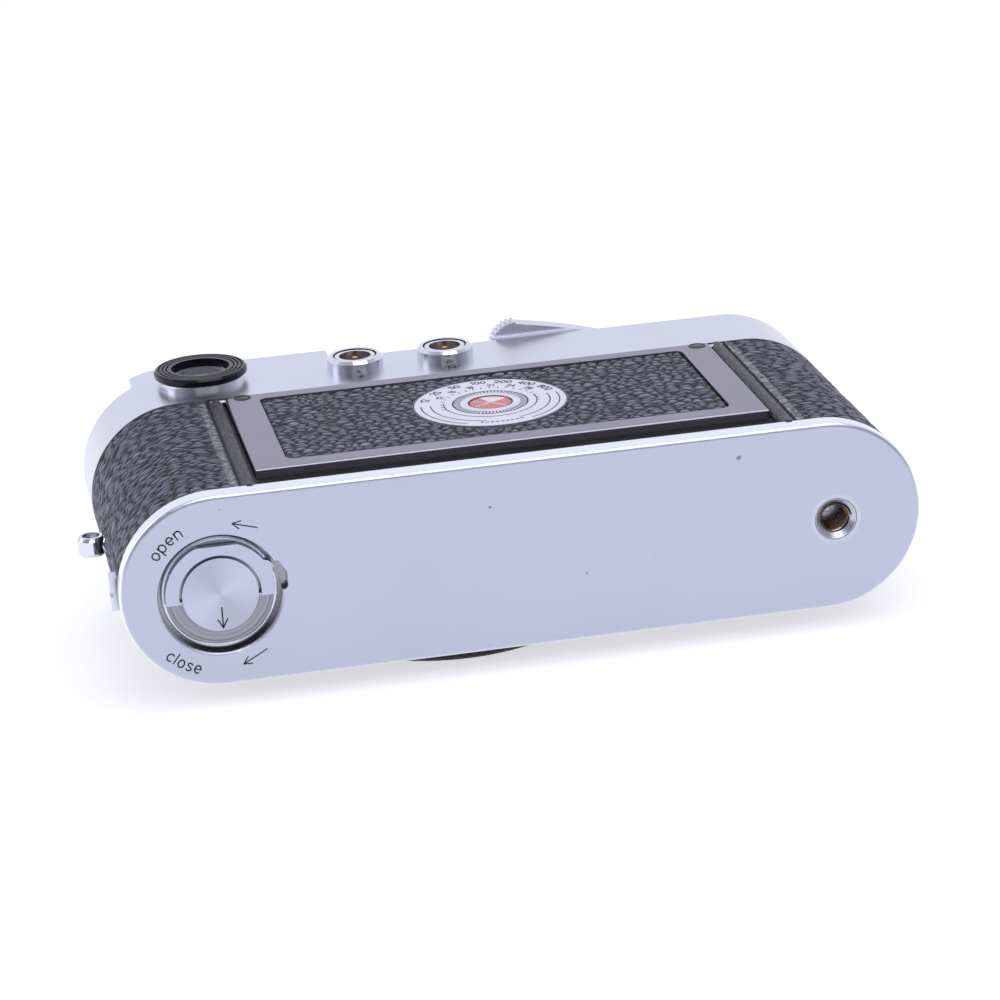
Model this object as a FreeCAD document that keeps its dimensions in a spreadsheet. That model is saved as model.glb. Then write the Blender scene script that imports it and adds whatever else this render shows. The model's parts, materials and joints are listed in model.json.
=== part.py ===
"""Rangefinder film camera lying on its body cap: one parametric document, one STEP file per piece.

The shapes are drawn in the camera's own axes, in millimetres: X across the back from the finder end
to the wind lever end, Y from the base plate's outer face up to the top cover, and Z out of the back
from the casing's middle plane.  Each piece's Placement then carries it to the part's frame, whose
origin is on the lens axis, at the face of the body cap that the camera rests on.
"""
import FreeCAD
import Part
import Sketcher
import math
import os
import re

doc = FreeCAD.newDocument("film_camera")

# ---------------------------------------------------------------- driving dimensions
SIZES = {
    # casing
    "body_length": 138.0, "body_depth": 33.5, "base_height": 3.4, "base_wall": 1.0,
    "cover_low": 53.4, "cover_high": 71.3, "block_high": 77.0, "cover_wall": 1.0,
    "block_left": -58.7, "block_right": -22.0, "edge_round": 0.75, "cover_round": 1.0,
    "skin": 0.8, "shell_wall": 1.6, "gap": 0.3, "running": 0.05,
    # lens mount, shutter gate and the face that the camera rests on
    "lens_x": -9.55, "lens_y": 34.0, "rest_drop": 4.4, "flange_radius": 25.4, "flange_bore": 22.0,
    "flange_proud": 1.3, "cap_radius": 25.67, "cap_rim": 1.2, "throat_radius": 21.9,
    "gate_width": 36.0, "gate_height": 24.0, "film_plane": 9.65,
    # back door and its opening
    "door_left": -43.7, "door_right": 45.45, "door_low": 9.75, "door_high": 52.6, "door_face": 17.2,
    "door_plate": 1.6, "door_round": 0.5, "panel_left": -37.9, "panel_right": 39.6, "panel_low": 13.4,
    "panel_high": 49.3, "panel_deep": 0.9, "panel_round": 1.5, "sill_face": 15.6,
    "post_radius": 1.55, "post_z": 15.4, "post_left": -45.45, "post_right": 47.1,
    "hinge_y": 52.0, "hinge_z": 16.4, "hinge_pin": 0.45,
    # film reminder dial on the door
    "dial_x": 0.7, "dial_y": 31.3, "dial_radius": 13.66, "dial_bore": 6.75, "dial_knob": 6.5,
    "type_radius": 3.85, "dial_proud": 0.15,
    # base key, tripod bush
    "key_x": -52.25, "key_z": -0.6, "key_recess": 10.4, "recess_deep": 2.4, "recess_lip": 0.4, "key_disc": 6.4,
    "handle_inner": 6.9, "handle_outer": 9.2, "handle_low": 0.05, "handle_high": 1.35,
    "key_hinge_z": -1.6, "key_hinge_y": 0.7, "key_pin": 0.35, "key_shaft": 2.0,
    "tripod_x": 53.9, "tripod_z": -0.6, "tripod_bore": 2.6, "tripod_outer": 4.4,
    "tripod_flange": 6.4, "tripod_deep": 5.4, "tripod_high": 6.4,
    # finder and flash sockets on the back
    "eye_x": -46.4, "eye_y": 65.4, "eye_base": 7.7, "eye_ring": 8.5, "eye_bore": 5.3,
    "eye_step": 18.0, "eye_face": 19.5, "socket_left": -18.2, "socket_right": -1.5,
    "socket_y": 63.6, "socket_outer": 5.15, "socket_inner": 4.0, "sleeve_outer": 3.7,
    "sleeve_inner": 2.9, "socket_face": 19.05,
    # controls on top
    "wind_x": 48.0, "wind_z": 0.0, "wind_hub": 10.0, "wind_shaft": 5.6, "wind_bore": 4.2,
    "lever_low": 71.6, "lever_high": 75.0, "tip_x": 13.4, "tip_z": 14.6, "tip_radius": 4.4,
    "hub_high": 74.6, "collar_high": 76.2, "collar_radius": 6.4, "button_radius": 3.3,
    "button_high": 77.6, "stem_radius": 2.5,
    "speed_x": 26.0, "speed_z": -4.0, "speed_radius": 8.5, "speed_low": 71.8, "speed_high": 77.0,
    "counter_x": 61.2, "counter_z": -6.0, "counter_radius": 4.5, "window_z": -8.4,
    "window_radius": 2.6, "rewind_well": 10.0, "rewind_radius": 8.9, "rewind_low": 72.0,
    "rewind_high": 79.0, "rewind_shaft": 1.8, "shoe_x": -9.55, "shoe_z": 0.5,
    "shoe_inner": 18.8, "shoe_wall": 1.1, "shoe_length": 19.0, "shoe_base": 0.8,
    "shoe_gap": 2.1, "shoe_lip": 0.9, "shoe_mouth": 12.6,
    # controls and fittings on the front and the ends
    "timer_x": -50.0, "timer_y": 24.0, "timer_hub": 3.8, "timer_reach": 19.0,
    "selector_x": -39.6, "selector_y": 40.0, "selector_hub": 2.7, "selector_reach": 14.0,
    "release_x": 25.5, "release_y": 45.0, "release_hub": 2.7, "release_reach": 9.0,
    "latch_x": 15.4, "latch_y": 16.5, "latch_radius": 3.0, "latch_guard": 4.3,
    "lug_x": 71.0, "lug_y": 31.0, "lug_radius": 2.4, "lug_hole": 1.5, "lug_half": 1.7,
    "lug_round": 2.65,
    "stud_low": 6.0, "stud_high": 9.2, "stud_face": 70.0,
    # mechanism
    "deck_thick": 1.2, "sprocket_x": 28.5, "sprocket_z": 3.6, "sprocket_radius": 6.05,
    "sprocket_core": 5.2, "sprocket_shaft": 2.0, "spool_core": 7.0, "spool_flange": 11.5,
    "spool_shaft": 1.8, "drum_x": 16.0, "drum_radius": 5.0, "drum_shaft": 1.5,
    "roller_x": -34.0, "roller_radius": 3.0, "roller_z": -1.95, "roller_shaft": 1.2, "chamber_outer": 13.6,
    "chamber_inner": 12.9, "gear_low": 60.0, "gear_high": 62.0, "spool_gear_low": 56.5,
    "spool_gear_high": 58.5, "arm_x": 16.0, "arm_z": -10.0,
}
COVER_DEPTH = "(body_depth / 2)"                                # outer radius of the rounded ends
END_X = "(body_length / 2 - body_depth / 2)"                    # centre of the rounded ends
SHELL_OUT = f"({COVER_DEPTH} - skin)"
SHELL_IN = f"({COVER_DEPTH} - skin - shell_wall)"
FRONT = f"(-{COVER_DEPTH})"
SHELL_FRONT = f"(-{SHELL_OUT})"
REST_FACE = f"({FRONT} - rest_drop)"
FLANGE_FACE = f"({FRONT} - flange_proud)"
DECK_HIGH = "(cover_low + deck_thick)"

sheet = doc.addObject("Spreadsheet::Sheet", "Sizes")
for row, (alias, value) in enumerate(SIZES.items(), start=1):
    sheet.set(f"A{row}", alias)
    sheet.set(f"B{row}", str(value))
    sheet.setAlias(f"B{row}", alias)
doc.recompute()

PLANE_ROLE = {"X": "YZ_Plane", "Y": "XZ_Plane", "Z": "XY_Plane"}
TURN = {
    "X": FreeCAD.Rotation(FreeCAD.Vector(0, 1, 0), 90),
    "Y": FreeCAD.Rotation(FreeCAD.Vector(1, 0, 0), -90),
    "Z": FreeCAD.Rotation(),
}
FRAME_SHIFT = ("-lens_x", "-lens_y", f"-{REST_FACE}")           # camera axes to the part's frame
pieces = []
stands = {}                                                     # where each placed shape stands


# ---------------------------------------------------------------- general helpers
def linked(text):
    """The expression with each driving dimension's name turned into its spreadsheet cell."""
    return re.sub(r"[a-z][a-z_]*", lambda m: "Sizes." + m[0] if m[0] in SIZES else m[0], str(text))


def value(text):
    """The number that an expression in the driving dimensions comes to."""
    names = re.sub(r"[a-z][a-z_]*", lambda m: f"({SIZES[m[0]]})", str(text))
    scratch = FreeCAD.Units.Quantity(f"({names}) * 1 mm")
    return scratch.Value


def bind(item, prop, text):
    item.setExpression(prop, linked(text))


def place(item, axis, across, low):
    """Stands an item along an axis, from `low`, at its other two coordinates."""
    item.Placement = FreeCAD.Placement(FreeCAD.Vector(), TURN[axis])
    texts = list(across)
    texts.insert("XYZ".index(axis), low)
    stands[item.Name] = texts
    for letter, text in zip("xyz", texts):
        bind(item, ".Placement.Base." + letter, text)


def piece(item, label):
    """Names a finished sub-part and carries it into the part's frame."""
    item.Label = label
    own_place = stands.get(item.Name, ("0", "0", "0"))
    for letter, own, shift in zip("xyz", own_place, FRAME_SHIFT):
        bind(item, ".Placement.Base." + letter, f"({own}) + ({shift})")
    pieces.append(item)


def rod(axis, across, low, high, radius):
    item = doc.addObject("Part::Cylinder", "rod")
    bind(item, "Radius", radius)
    bind(item, "Height", f"({high}) - ({low})")
    place(item, axis, across, low)
    return item


def cone(axis, across, low, high, low_radius, high_radius):
    item = doc.addObject("Part::Cone", "cone")
    bind(item, "Radius1", low_radius)
    bind(item, "Radius2", high_radius)
    bind(item, "Height", f"({high}) - ({low})")
    place(item, axis, across, low)
    return item


def ball(across, level, radius):
    """A sphere centred at an X and Y and at a level in Z."""
    item = doc.addObject("Part::Sphere", "ball")
    bind(item, "Radius", radius)
    place(item, "Z", across, level)
    return item


def block(x, y, z):
    """A box between the low and high values given for each axis."""
    item = doc.addObject("Part::Box", "block")
    for prop, (low, high) in zip(("Length", "Width", "Height"), (x, y, z)):
        bind(item, prop, f"({high}) - ({low})")
    place(item, "Z", (x[0], y[0]), z[0])
    return item


def fuse(*items):
    item = doc.addObject("Part::MultiFuse", "fusion")
    item.Shapes = list(items)
    return item


def cut(base, *tools):
    item = doc.addObject("Part::Cut", "cut")
    item.Base = base
    item.Tool = tools[0] if len(tools) == 1 else fuse(*tools)
    return item


def common(*items):
    item = doc.addObject("Part::MultiCommon", "common")
    item.Shapes = list(items)
    return item


def tube(axis, across, low, high, outer, inner):
    return cut(rod(axis, across, low, high, outer), rod(axis, across, low, high, inner))


def toothed(axis, across, low, high, outline):
    """A straight prism on a closed outline of points about an axis, as knurls and gears need."""
    wire = Part.makePolygon([FreeCAD.Vector(x, y, 0) for x, y in outline + outline[:1]])
    item = doc.addObject("Part::Feature", "toothed")
    item.Shape = Part.Face(wire).extrude(FreeCAD.Vector(0, 0, value(f"({high}) - ({low})")))
    place(item, axis, across, low)
    return item


def knurl_outline(radius, count, depth):
    """Points of a knurled circle: one rounded-off tooth for each of `count` steps."""
    points = []
    for step in range(count):
        for share, drop in ((0.0, depth), (0.28, 0.0), (0.72, 0.0)):
            angle = 2 * math.pi * (step + share) / count
            reach = value(radius) - drop
            points.append((reach * math.cos(angle), reach * math.sin(angle)))
    return points


def gear_outline(teeth, module, phase):
    """Points of a simple straight-flanked gear; `phase` is one tooth's middle, in tooth pitches."""
    points = []
    pitch = teeth * module / 2
    for tooth in range(teeth):
        for share, reach in ((-0.31, -1.15), (-0.12, 0.85), (0.12, 0.85), (0.31, -1.15)):
            angle = 2 * math.pi * (tooth + share + phase) / teeth
            radius = pitch + reach * module
            points.append((radius * math.cos(angle), radius * math.sin(angle)))
    return points


# ---------------------------------------------------------------- shafts along Y and their gears
WIND = ("wind_x", "wind_z")
SPROCKET = ("sprocket_x", "sprocket_z")
ROLLER = ("roller_x", "roller_z")
ROLLERS_Y = ("18", "51.4")                                      # where the curtain rollers run
TEETH = {"wind": 36, "sprocket": 22, "spool": 29, "drum": 18}


def gear_module():
    """Tooth size that puts the wind and sprocket gears in mesh at their shafts' distance."""
    distance = math.hypot(value("wind_x - sprocket_x"), value("wind_z - sprocket_z"))
    return 2 * distance / (TEETH["wind"] + TEETH["sprocket"])


def drum_z():
    """Height of the curtain drum's shaft that puts its gear in mesh with the sprocket's gear."""
    distance = gear_module() * (TEETH["sprocket"] + TEETH["drum"]) / 2
    across = value("sprocket_x - drum_x")
    return value("sprocket_z") - math.sqrt(distance ** 2 - across ** 2)


DRUM = ("drum_x", f"{drum_z():.6f}")


def bearing(shaft, other):
    """The direction from one shaft along Y to another, as an angle from X towards Z."""
    x, z = (value(text) for text in shaft)
    other_x, other_z = (value(text) for text in other)
    return math.atan2(other_z - z, other_x - x)


def gear(teeth, shaft, low, high, other, offset):
    """A gear on a shaft along Y with a tooth (offset 0) or a gap (0.5) facing another shaft."""
    phase = -bearing(shaft, other) * teeth / (2 * math.pi) + offset
    return toothed("Y", shaft, low, high, gear_outline(teeth, gear_module(), phase))


# ---------------------------------------------------------------- sketched bodies
def new_body():
    return doc.addObject("PartDesign::Body", "body")


def sketch_on(body, axis, level):
    """A sketch of this body across an axis, at a level on it."""
    sketch = body.newObject("Sketcher::SketchObject", "sketch")
    planes = [item for item in body.Origin.OriginFeatures if item.Role == PLANE_ROLE[axis]]
    sketch.AttachmentSupport = (planes[0], [""])
    sketch.MapMode = "FlatFace"
    bind(sketch, ".AttachmentOffset.Base.z", f"-({level})" if axis == "Y" else level)
    return sketch


def hold(sketch, kind, *where, text):
    number = sketch.addConstraint(Sketcher.Constraint(kind, *where, value(text)))
    bind(sketch, f"Constraints[{number}]", text)


def fix_point(sketch, geometry, point, across, up):
    hold(sketch, "DistanceX", -1, 1, geometry, point, text=across)
    hold(sketch, "DistanceY", -1, 1, geometry, point, text=up)


def draw_circle(sketch, across, up, radius):
    centre = FreeCAD.Vector(value(across), value(up), 0)
    circle = Part.Circle(centre, FreeCAD.Vector(0, 0, 1), value(radius))
    geometry = sketch.addGeometry(circle)
    fix_point(sketch, geometry, 3, across, up)
    hold(sketch, "Radius", geometry, text=radius)


def draw_outline(sketch, points):
    """A closed outline of straight edges with every corner held at its own two distances."""
    corners = [FreeCAD.Vector(value(a), value(b), 0) for a, b in points]
    first = len(sketch.Geometry)
    for start, end in zip(corners, corners[1:] + corners[:1]):
        sketch.addGeometry(Part.LineSegment(start, end))
    for index, (across, up) in enumerate(points):
        before = first + (index - 1) % len(points)
        sketch.addConstraint(Sketcher.Constraint("Coincident", before, 2, first + index, 1))
        fix_point(sketch, first + index, 1, across, up)


def draw_slot(sketch, reach, radius):
    """A round-ended outline about the middle: its end centres at -reach and +reach."""
    far = value(reach)
    wide = value(radius)
    up = FreeCAD.Vector(0, 0, 1)
    first = len(sketch.Geometry)
    for centre, start in ((far, -math.pi / 2), (-far, math.pi / 2)):
        circle = Part.Circle(FreeCAD.Vector(centre, 0, 0), up, wide)
        sketch.addGeometry(Part.ArcOfCircle(circle, start, start + math.pi))
    for side in (1, -1):
        ends = FreeCAD.Vector(side * far, side * wide, 0), FreeCAD.Vector(-side * far, side * wide, 0)
        sketch.addGeometry(Part.LineSegment(*ends))
    for line, start, end in ((first + 2, first, first + 1), (first + 3, first + 1, first)):
        sketch.addConstraint(Sketcher.Constraint("Tangent", start, 2, line, 1))
        sketch.addConstraint(Sketcher.Constraint("Tangent", line, 2, end, 1))
    fix_point(sketch, first, 3, reach, "0")
    fix_point(sketch, first + 1, 3, f"-({reach})", "0")
    hold(sketch, "Radius", first, text=radius)


def extrude(body, kind, axis, low, high, *drawings):
    """A pad or pocket of this body along an axis, from low to high."""
    sketch = sketch_on(body, axis, low)
    for draw, *texts in drawings:
        draw(sketch, *texts)
    feature = body.newObject("PartDesign::" + kind, kind)
    feature.Profile = sketch
    feature.Reversed = (axis == "Y") if kind == "Pad" else (axis != "Y")
    bind(feature, "Length", f"({high}) - ({low})")
    return feature


def rectangle(x, y):
    return [(x[0], y[0]), (x[1], y[0]), (x[1], y[1]), (x[0], y[1])]


def dress(body, kind, size_text, chosen):
    """A fillet or chamfer on those edges of the body's last feature that `chosen` accepts."""
    doc.recompute()
    base = body.Tip
    names = [f"Edge{i}" for i, edge in enumerate(base.Shape.Edges, start=1) if chosen(edge)]
    feature = body.newObject("PartDesign::" + kind, kind)
    feature.Base = (base, names)
    bind(feature, "Radius" if kind == "Fillet" else "Size", size_text)
    doc.recompute()
    return feature


def at_level(edge, axis, level):
    """True where the whole edge lies at one value of an axis."""
    box = edge.BoundBox
    low = getattr(box, axis + "Min")
    high = getattr(box, axis + "Max")
    return abs(low - value(level)) < 0.001 and abs(high - value(level)) < 0.001


def stands_up(edge):
    """True where the edge is straight along Z."""
    box = edge.BoundBox
    return box.ZLength > 0.5 and box.XLength < 0.001 and box.YLength < 0.001


def on_sides(edge, x_levels, y_levels):
    """True where the whole edge lies on one of these X levels or Y levels."""
    return (any(at_level(edge, "X", level) for level in x_levels)
            or any(at_level(edge, "Y", level) for level in y_levels))


def on_ends_outline(edge, radius):
    """True where the edge runs along the camera's round-ended outline of this radius."""
    reach = value(END_X)
    for point in edge.discretize(3):
        across = max(abs(point.x) - reach, 0.0)
        if abs(math.hypot(across, point.z) - value(radius)) > 0.001:
            return False
    return True


# ---------------------------------------------------------------- base plate and its key
KEY = ("key_x", "key_z")
TRIPOD = ("tripod_x", "tripod_z")


def base_plate():
    body = new_body()
    extrude(body, "Pad", "Y", "0", "base_height", (draw_slot, END_X, COVER_DEPTH))
    extrude(body, "Pocket", "Y", "base_wall", "base_height",
            (draw_slot, END_X, f"{COVER_DEPTH} - base_wall"),
            (draw_circle, *KEY, "key_recess + 1.9"), (draw_circle, *TRIPOD, "tripod_flange + 0.8"))
    extrude(body, "Pocket", "Y", "0", "recess_deep", (draw_circle, *KEY, "key_recess"))
    nail = [(f"key_x + {across}", f"key_z + {up}") for across, up in
            ((9.0, -0.4), (10.9, -0.4), (11.4, 0.1), (11.4, 2.6), (10.1, 4.8), (9.0, 4.8))]
    extrude(body, "Pocket", "Y", "0", "1.6", (draw_outline, nail))
    extrude(body, "Pocket", "Y", "recess_deep", "base_height",
            (draw_circle, *KEY, "key_shaft + running"))
    extrude(body, "Pocket", "Y", "0", "base_height", (draw_circle, *TRIPOD, "tripod_outer"))
    extrude(body, "Pocket", "Y", "base_wall", "base_height",
            (draw_circle, *TRIPOD, "tripod_flange"))
    dress(body, "Fillet", "edge_round",
          lambda edge: at_level(edge, "Y", "0") and on_ends_outline(edge, COVER_DEPTH))
    dress(body, "Fillet", "recess_lip",
          lambda edge: at_level(edge, "Y", "0") and hasattr(edge.Curve, "Radius")
          and abs(edge.Curve.Radius - value("key_recess")) < 0.001)
    piece(body, "base_plate")


def tripod_bush():
    outside = fuse(rod("Y", TRIPOD, "0", "tripod_high", "tripod_outer"),
                   rod("Y", TRIPOD, "base_wall", "base_height", "tripod_flange"))
    bore = rod("Y", TRIPOD, "0", "tripod_deep", "tripod_bore")
    mouth = cone("Y", TRIPOD, "0", "0.8", "tripod_bore + 0.9", "tripod_bore")
    piece(cut(outside, bore, mouth), "tripod_bush")


def base_key():
    disc = fuse(rod("Y", KEY, "1.5", "recess_deep - 0.1", "key_recess - 0.6"),
                rod("Y", KEY, "handle_low", "1.5", "key_disc"),
                rod("Y", KEY, "1.5", "4.8", "key_shaft"))
    pin_length = ("key_x - 9", "key_x + 9")
    pin_line = ("key_hinge_y", "key_hinge_z")
    piece(cut(disc, rod("X", pin_line, *pin_length, "key_pin")), "base_key_disc")
    piece(rod("X", pin_line, "key_x - 8.3", "key_x + 8.3", "key_pin"), "base_key_pin")
    ring = tube("Y", KEY, "handle_low", "handle_high", "handle_outer", "handle_inner")
    lobe = cut(rod("Y", ("key_x + 7.5", "key_z + 3.4"), "handle_low", "handle_high", "1.8"),
               rod("Y", KEY, "-1", "3", "handle_inner"))
    lower_half = block(("key_x - 11", "key_x + 11"), ("-1", "3"), ("key_z - 11", "key_hinge_z"))
    beyond_chord = block(("key_x - 11", "key_x + 11"), ("-1", "3"), ("key_z + 8.5", "key_z + 11"))
    nail = rod("Y", ("key_x + 9.6", "key_z + 3.4"), "-1", "3", "0.6")
    pin_hole = rod("X", pin_line, *pin_length, "key_pin + running")
    piece(cut(fuse(ring, lobe), lower_half, beyond_chord, nail, pin_hole), "base_key_handle")
    cam = cut(rod("Y", KEY, "base_height + 0.1", "4.8", "7.0"),
              rod("Y", KEY, "base_height", "4.9", "key_shaft"),
              block(("key_x - 8", "key_x + 8"), ("3", "6"), ("key_z + 3.2", "key_z + 8")))
    piece(cam, "base_key_cam")


def base_tongue():
    foot = block(("61.5", "65.5"), ("base_wall", "2.2"), ("-3", "3"))
    tongue = block(("63.3", "65.5"), ("base_wall", "6.5"), ("-3", "3"))
    piece(fuse(foot, tongue), "base_tongue")


# ---------------------------------------------------------------- body shell and covering
LENS = ("lens_x", "lens_y")
HUBS = (("timer_x", "timer_y", "timer_hub"), ("selector_x", "selector_y", "selector_hub"),
        ("release_x", "release_y", "release_hub"), ("latch_x", "latch_y", "latch_guard"))
OPENING = ("door_left - 0.2", "door_right + 0.2")


def body_shell():
    body = new_body()
    extrude(body, "Pad", "Y", "base_height", "cover_low", (draw_slot, END_X, SHELL_OUT))
    extrude(body, "Pocket", "Y", "base_height", "cover_low", (draw_slot, END_X, SHELL_IN))
    posts = [rod("Y", (post, "post_z"), "base_height", "cover_low - 0.3", "post_radius")
             for post in ("post_left", "post_right")]
    door_opening = block(OPENING, ("door_low - 0.05", "cover_low"), ("10", "20"))
    channel = block(OPENING, ("base_height", "door_low"), ("sill_face", "20"))
    throat = rod("Z", LENS, "-20", "-10", "throat_radius")
    pins = rod("X", ("hinge_y", "hinge_z"), "post_left - 0.9", "post_right + 0.9", "hinge_pin")
    latch = rod("Z", ("latch_x", "latch_y"), "-20", "-10", "latch_radius + 0.3")
    tongue = block(("60", "66"), ("3", "6.6"), ("-3.2", "3.2"))
    piece(cut(fuse(body, *posts), door_opening, channel, throat, pins, latch, tongue), "body_shell")


def body_covering():
    body = new_body()
    extrude(body, "Pad", "Y", "base_height + 0.1", "cover_low - 0.1",
            (draw_slot, END_X, f"{COVER_DEPTH} - 0.05"))
    extrude(body, "Pocket", "Y", "base_height + 0.1", "cover_low - 0.1",
            (draw_slot, END_X, SHELL_OUT))
    back = block(("post_left - 1.8", "post_right + 1.8"), ("3", "54"), ("5", "20"))
    holes = [rod("Z", (across, up), "-20", "-10", f"{hub} + 0.1") for across, up, hub in HUBS]
    mount = rod("Z", LENS, "-20", "-10", "flange_radius + 0.2")
    lugs = block(("-75", "75"), ("lug_y - lug_radius - 0.1", "lug_y + lug_radius + 0.1"),
                 ("-lug_half - 0.1", "lug_half + 0.1"))
    stud = block(("-72", "-65"), ("stud_low - 0.1", "stud_high + 0.1"), ("-3.6", "2.6"))
    piece(cut(body, back, mount, lugs, stud, *holes), "body_covering")


def end_fittings():
    end_wall = [rod("Y", (x, "0"), "0", "60", SHELL_OUT) for x in (f"-{END_X}", END_X)]
    lugs = []
    for side, wall in zip((-1, 1), end_wall):
        centre = (f"{side} * lug_x", "lug_y")
        eye = common(rod("Z", centre, "-lug_half", "lug_half", "lug_radius"), ball(centre, "0", "lug_round"))
        ends = sorted((60 * side, 69.8 * side))
        stem = rod("X", ("lug_y", "0"), str(ends[0]), str(ends[1]), "1.6")
        hole = rod("Z", (f"{side} * lug_x", "lug_y"), "-3", "3", "lug_hole")
        lugs.append(cut(fuse(eye, stem), wall, hole))
    piece(fuse(*lugs), "strap_lugs")
    stud = block(("-stud_face", "-66"), ("stud_low", "stud_high"), ("-3.4", "2.4"))
    slot = block(("-stud_face - 1", "-stud_face + 0.5"), ("5", "10"), ("-0.9", "-0.2"))
    piece(cut(stud, rod("Y", (f"-{END_X}", "0"), "0", "60", SHELL_OUT), slot), "end_stud")


# ---------------------------------------------------------------- top cover
def top_cover():
    body = new_body()
    extrude(body, "Pad", "Y", "cover_low", "cover_high", (draw_slot, END_X, COVER_DEPTH))
    extrude(body, "Pad", "Y", "cover_high", "block_high", (draw_slot, END_X, COVER_DEPTH))
    for side in (("block_right", "80"), ("-80", "block_left")):
        extrude(body, "Pocket", "Y", "cover_high", "block_high",
                (draw_outline, rectangle(side, ("-20", "20"))))
    extrude(body, "Pocket", "Y", "cover_high", "block_high", (draw_circle, *KEY, "rewind_well"))
    dress(body, "Fillet", "cover_round",
          lambda edge: (at_level(edge, "Y", "block_high") or at_level(edge, "Y", "cover_high"))
          and on_ends_outline(edge, COVER_DEPTH))
    extrude(body, "Pocket", "Y", "cover_low", "cover_high - cover_wall",
            (draw_slot, END_X, f"{COVER_DEPTH} - cover_wall"))
    loft = rectangle(("key_x + rewind_well + cover_wall", "block_right - cover_wall"),
                     (f"-{COVER_DEPTH} + cover_wall + 0.6", f"{COVER_DEPTH} - cover_wall - 0.6"))
    extrude(body, "Pocket", "Y", "cover_high - cover_wall - 0.2", "block_high - cover_wall",
            (draw_outline, loft))
    through = [
        rod("Z", LENS, "-20", "-10", "flange_radius + 0.2"),
        rod("Z", ("eye_x", "eye_y"), "10", "20", "eye_bore"),
        rod("Z", ("socket_left", "socket_y"), "10", "20", "2.2"),
        rod("Z", ("socket_right", "socket_y"), "10", "20", "2.2"),
        rod("Y", ("wind_x", "wind_z"), "60", "80", "wind_shaft + running"),
        rod("Y", ("speed_x", "speed_z"), "60", "80", "2 + running"),
        rod("Y", ("counter_x", "window_z"), "60", "80", "window_radius"),
        rod("Y", KEY, "60", "80", "rewind_shaft + running"),
        block(*VIEW_WINDOW, ("-20", "-10")),
        block(*LIGHT_WINDOW, ("-20", "-10")),
        block(*RANGE_WINDOW, ("-20", "-10")),
    ]
    piece(cut(body, *through), "top_cover")


VIEW_WINDOW = (("-54.5", "-39.5"), ("61", "70"))
LIGHT_WINDOW = (("-31", "-12"), ("61.6", "69.4"))
RANGE_WINDOW = (("19", "24.4"), ("62.6", "68.4"))


def finder():
    panes = (("viewfinder_window", VIEW_WINDOW), ("illumination_window", LIGHT_WINDOW),
             ("rangefinder_window", RANGE_WINDOW))
    for label, (x, y) in panes:
        piece(block(x, y, (f"{FRONT} + 0.3", f"{FRONT} + 1.2")), label)
    prism = fuse(block(("-50", "-40.5"), ("60.5", "69.5"), ("-14", "14.6")),
                 block(("-40.5", "24"), ("61.5", "68.5"), ("-14", "-9.3")))
    piece(prism, "finder_prism")
    eye = ("eye_x", "eye_y")
    back = COVER_DEPTH
    piece(tube("Z", eye, back, "eye_step", "eye_base", "eye_bore + 0.3"), "eyepiece_base")
    bevel = "0.4"
    outside = fuse(cone("Z", eye, "eye_step", f"eye_step + {bevel}", f"eye_ring - {bevel}", "eye_ring"),
                   rod("Z", eye, f"eye_step + {bevel}", f"eye_face - {bevel}", "eye_ring"),
                   cone("Z", eye, f"eye_face - {bevel}", "eye_face", "eye_ring", f"eye_ring - {bevel}"))
    ring = cut(outside, rod("Z", eye, "eye_step", "eye_face", "eye_bore"))
    grooves = [tube("Z", eye, "eye_face - 0.45", "eye_face", f"eye_ring - {out}", f"eye_ring - {out + 0.35}")
               for out in (0.75, 1.45, 2.15)]
    piece(cut(ring, *grooves), "eyepiece_ring")
    piece(rod("Z", eye, "16.9", "eye_step - 0.05", "eye_bore + 0.25"), "eyepiece_lens")


def flash_sockets():
    spots = (("socket_left", "socket_y"), ("socket_right", "socket_y"))
    back = COVER_DEPTH
    shells = []
    for spot in spots:
        rim = ("socket_face - 0.5", "socket_face")
        bevel = cut(tube("Z", spot, *rim, "socket_outer + 1", "socket_outer - 1"),
                    cone("Z", spot, *rim, "socket_outer", "socket_outer - 0.5"))
        shells.append(cut(tube("Z", spot, back, "socket_face", "socket_outer", "socket_inner"), bevel))
    piece(fuse(*shells), "flash_socket_shells")
    sleeves = [tube("Z", spot, back, "socket_face - 0.15", "sleeve_outer", "sleeve_inner") for spot in spots]
    piece(fuse(*sleeves), "flash_socket_sleeves")
    plugs = [cut(fuse(rod("Z", spot, back, f"{back} + 0.9", "sleeve_inner"),
                      rod("Z", spot, "14.6", back, "2.2")), rod("Z", spot, "14", "19", "0.5"))
             for spot in spots]
    piece(fuse(*plugs), "flash_socket_insulators")
    piece(fuse(*[rod("Z", spot, "14.2", "socket_face - 0.5", "0.5") for spot in spots]),
          "flash_socket_contacts")


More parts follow.
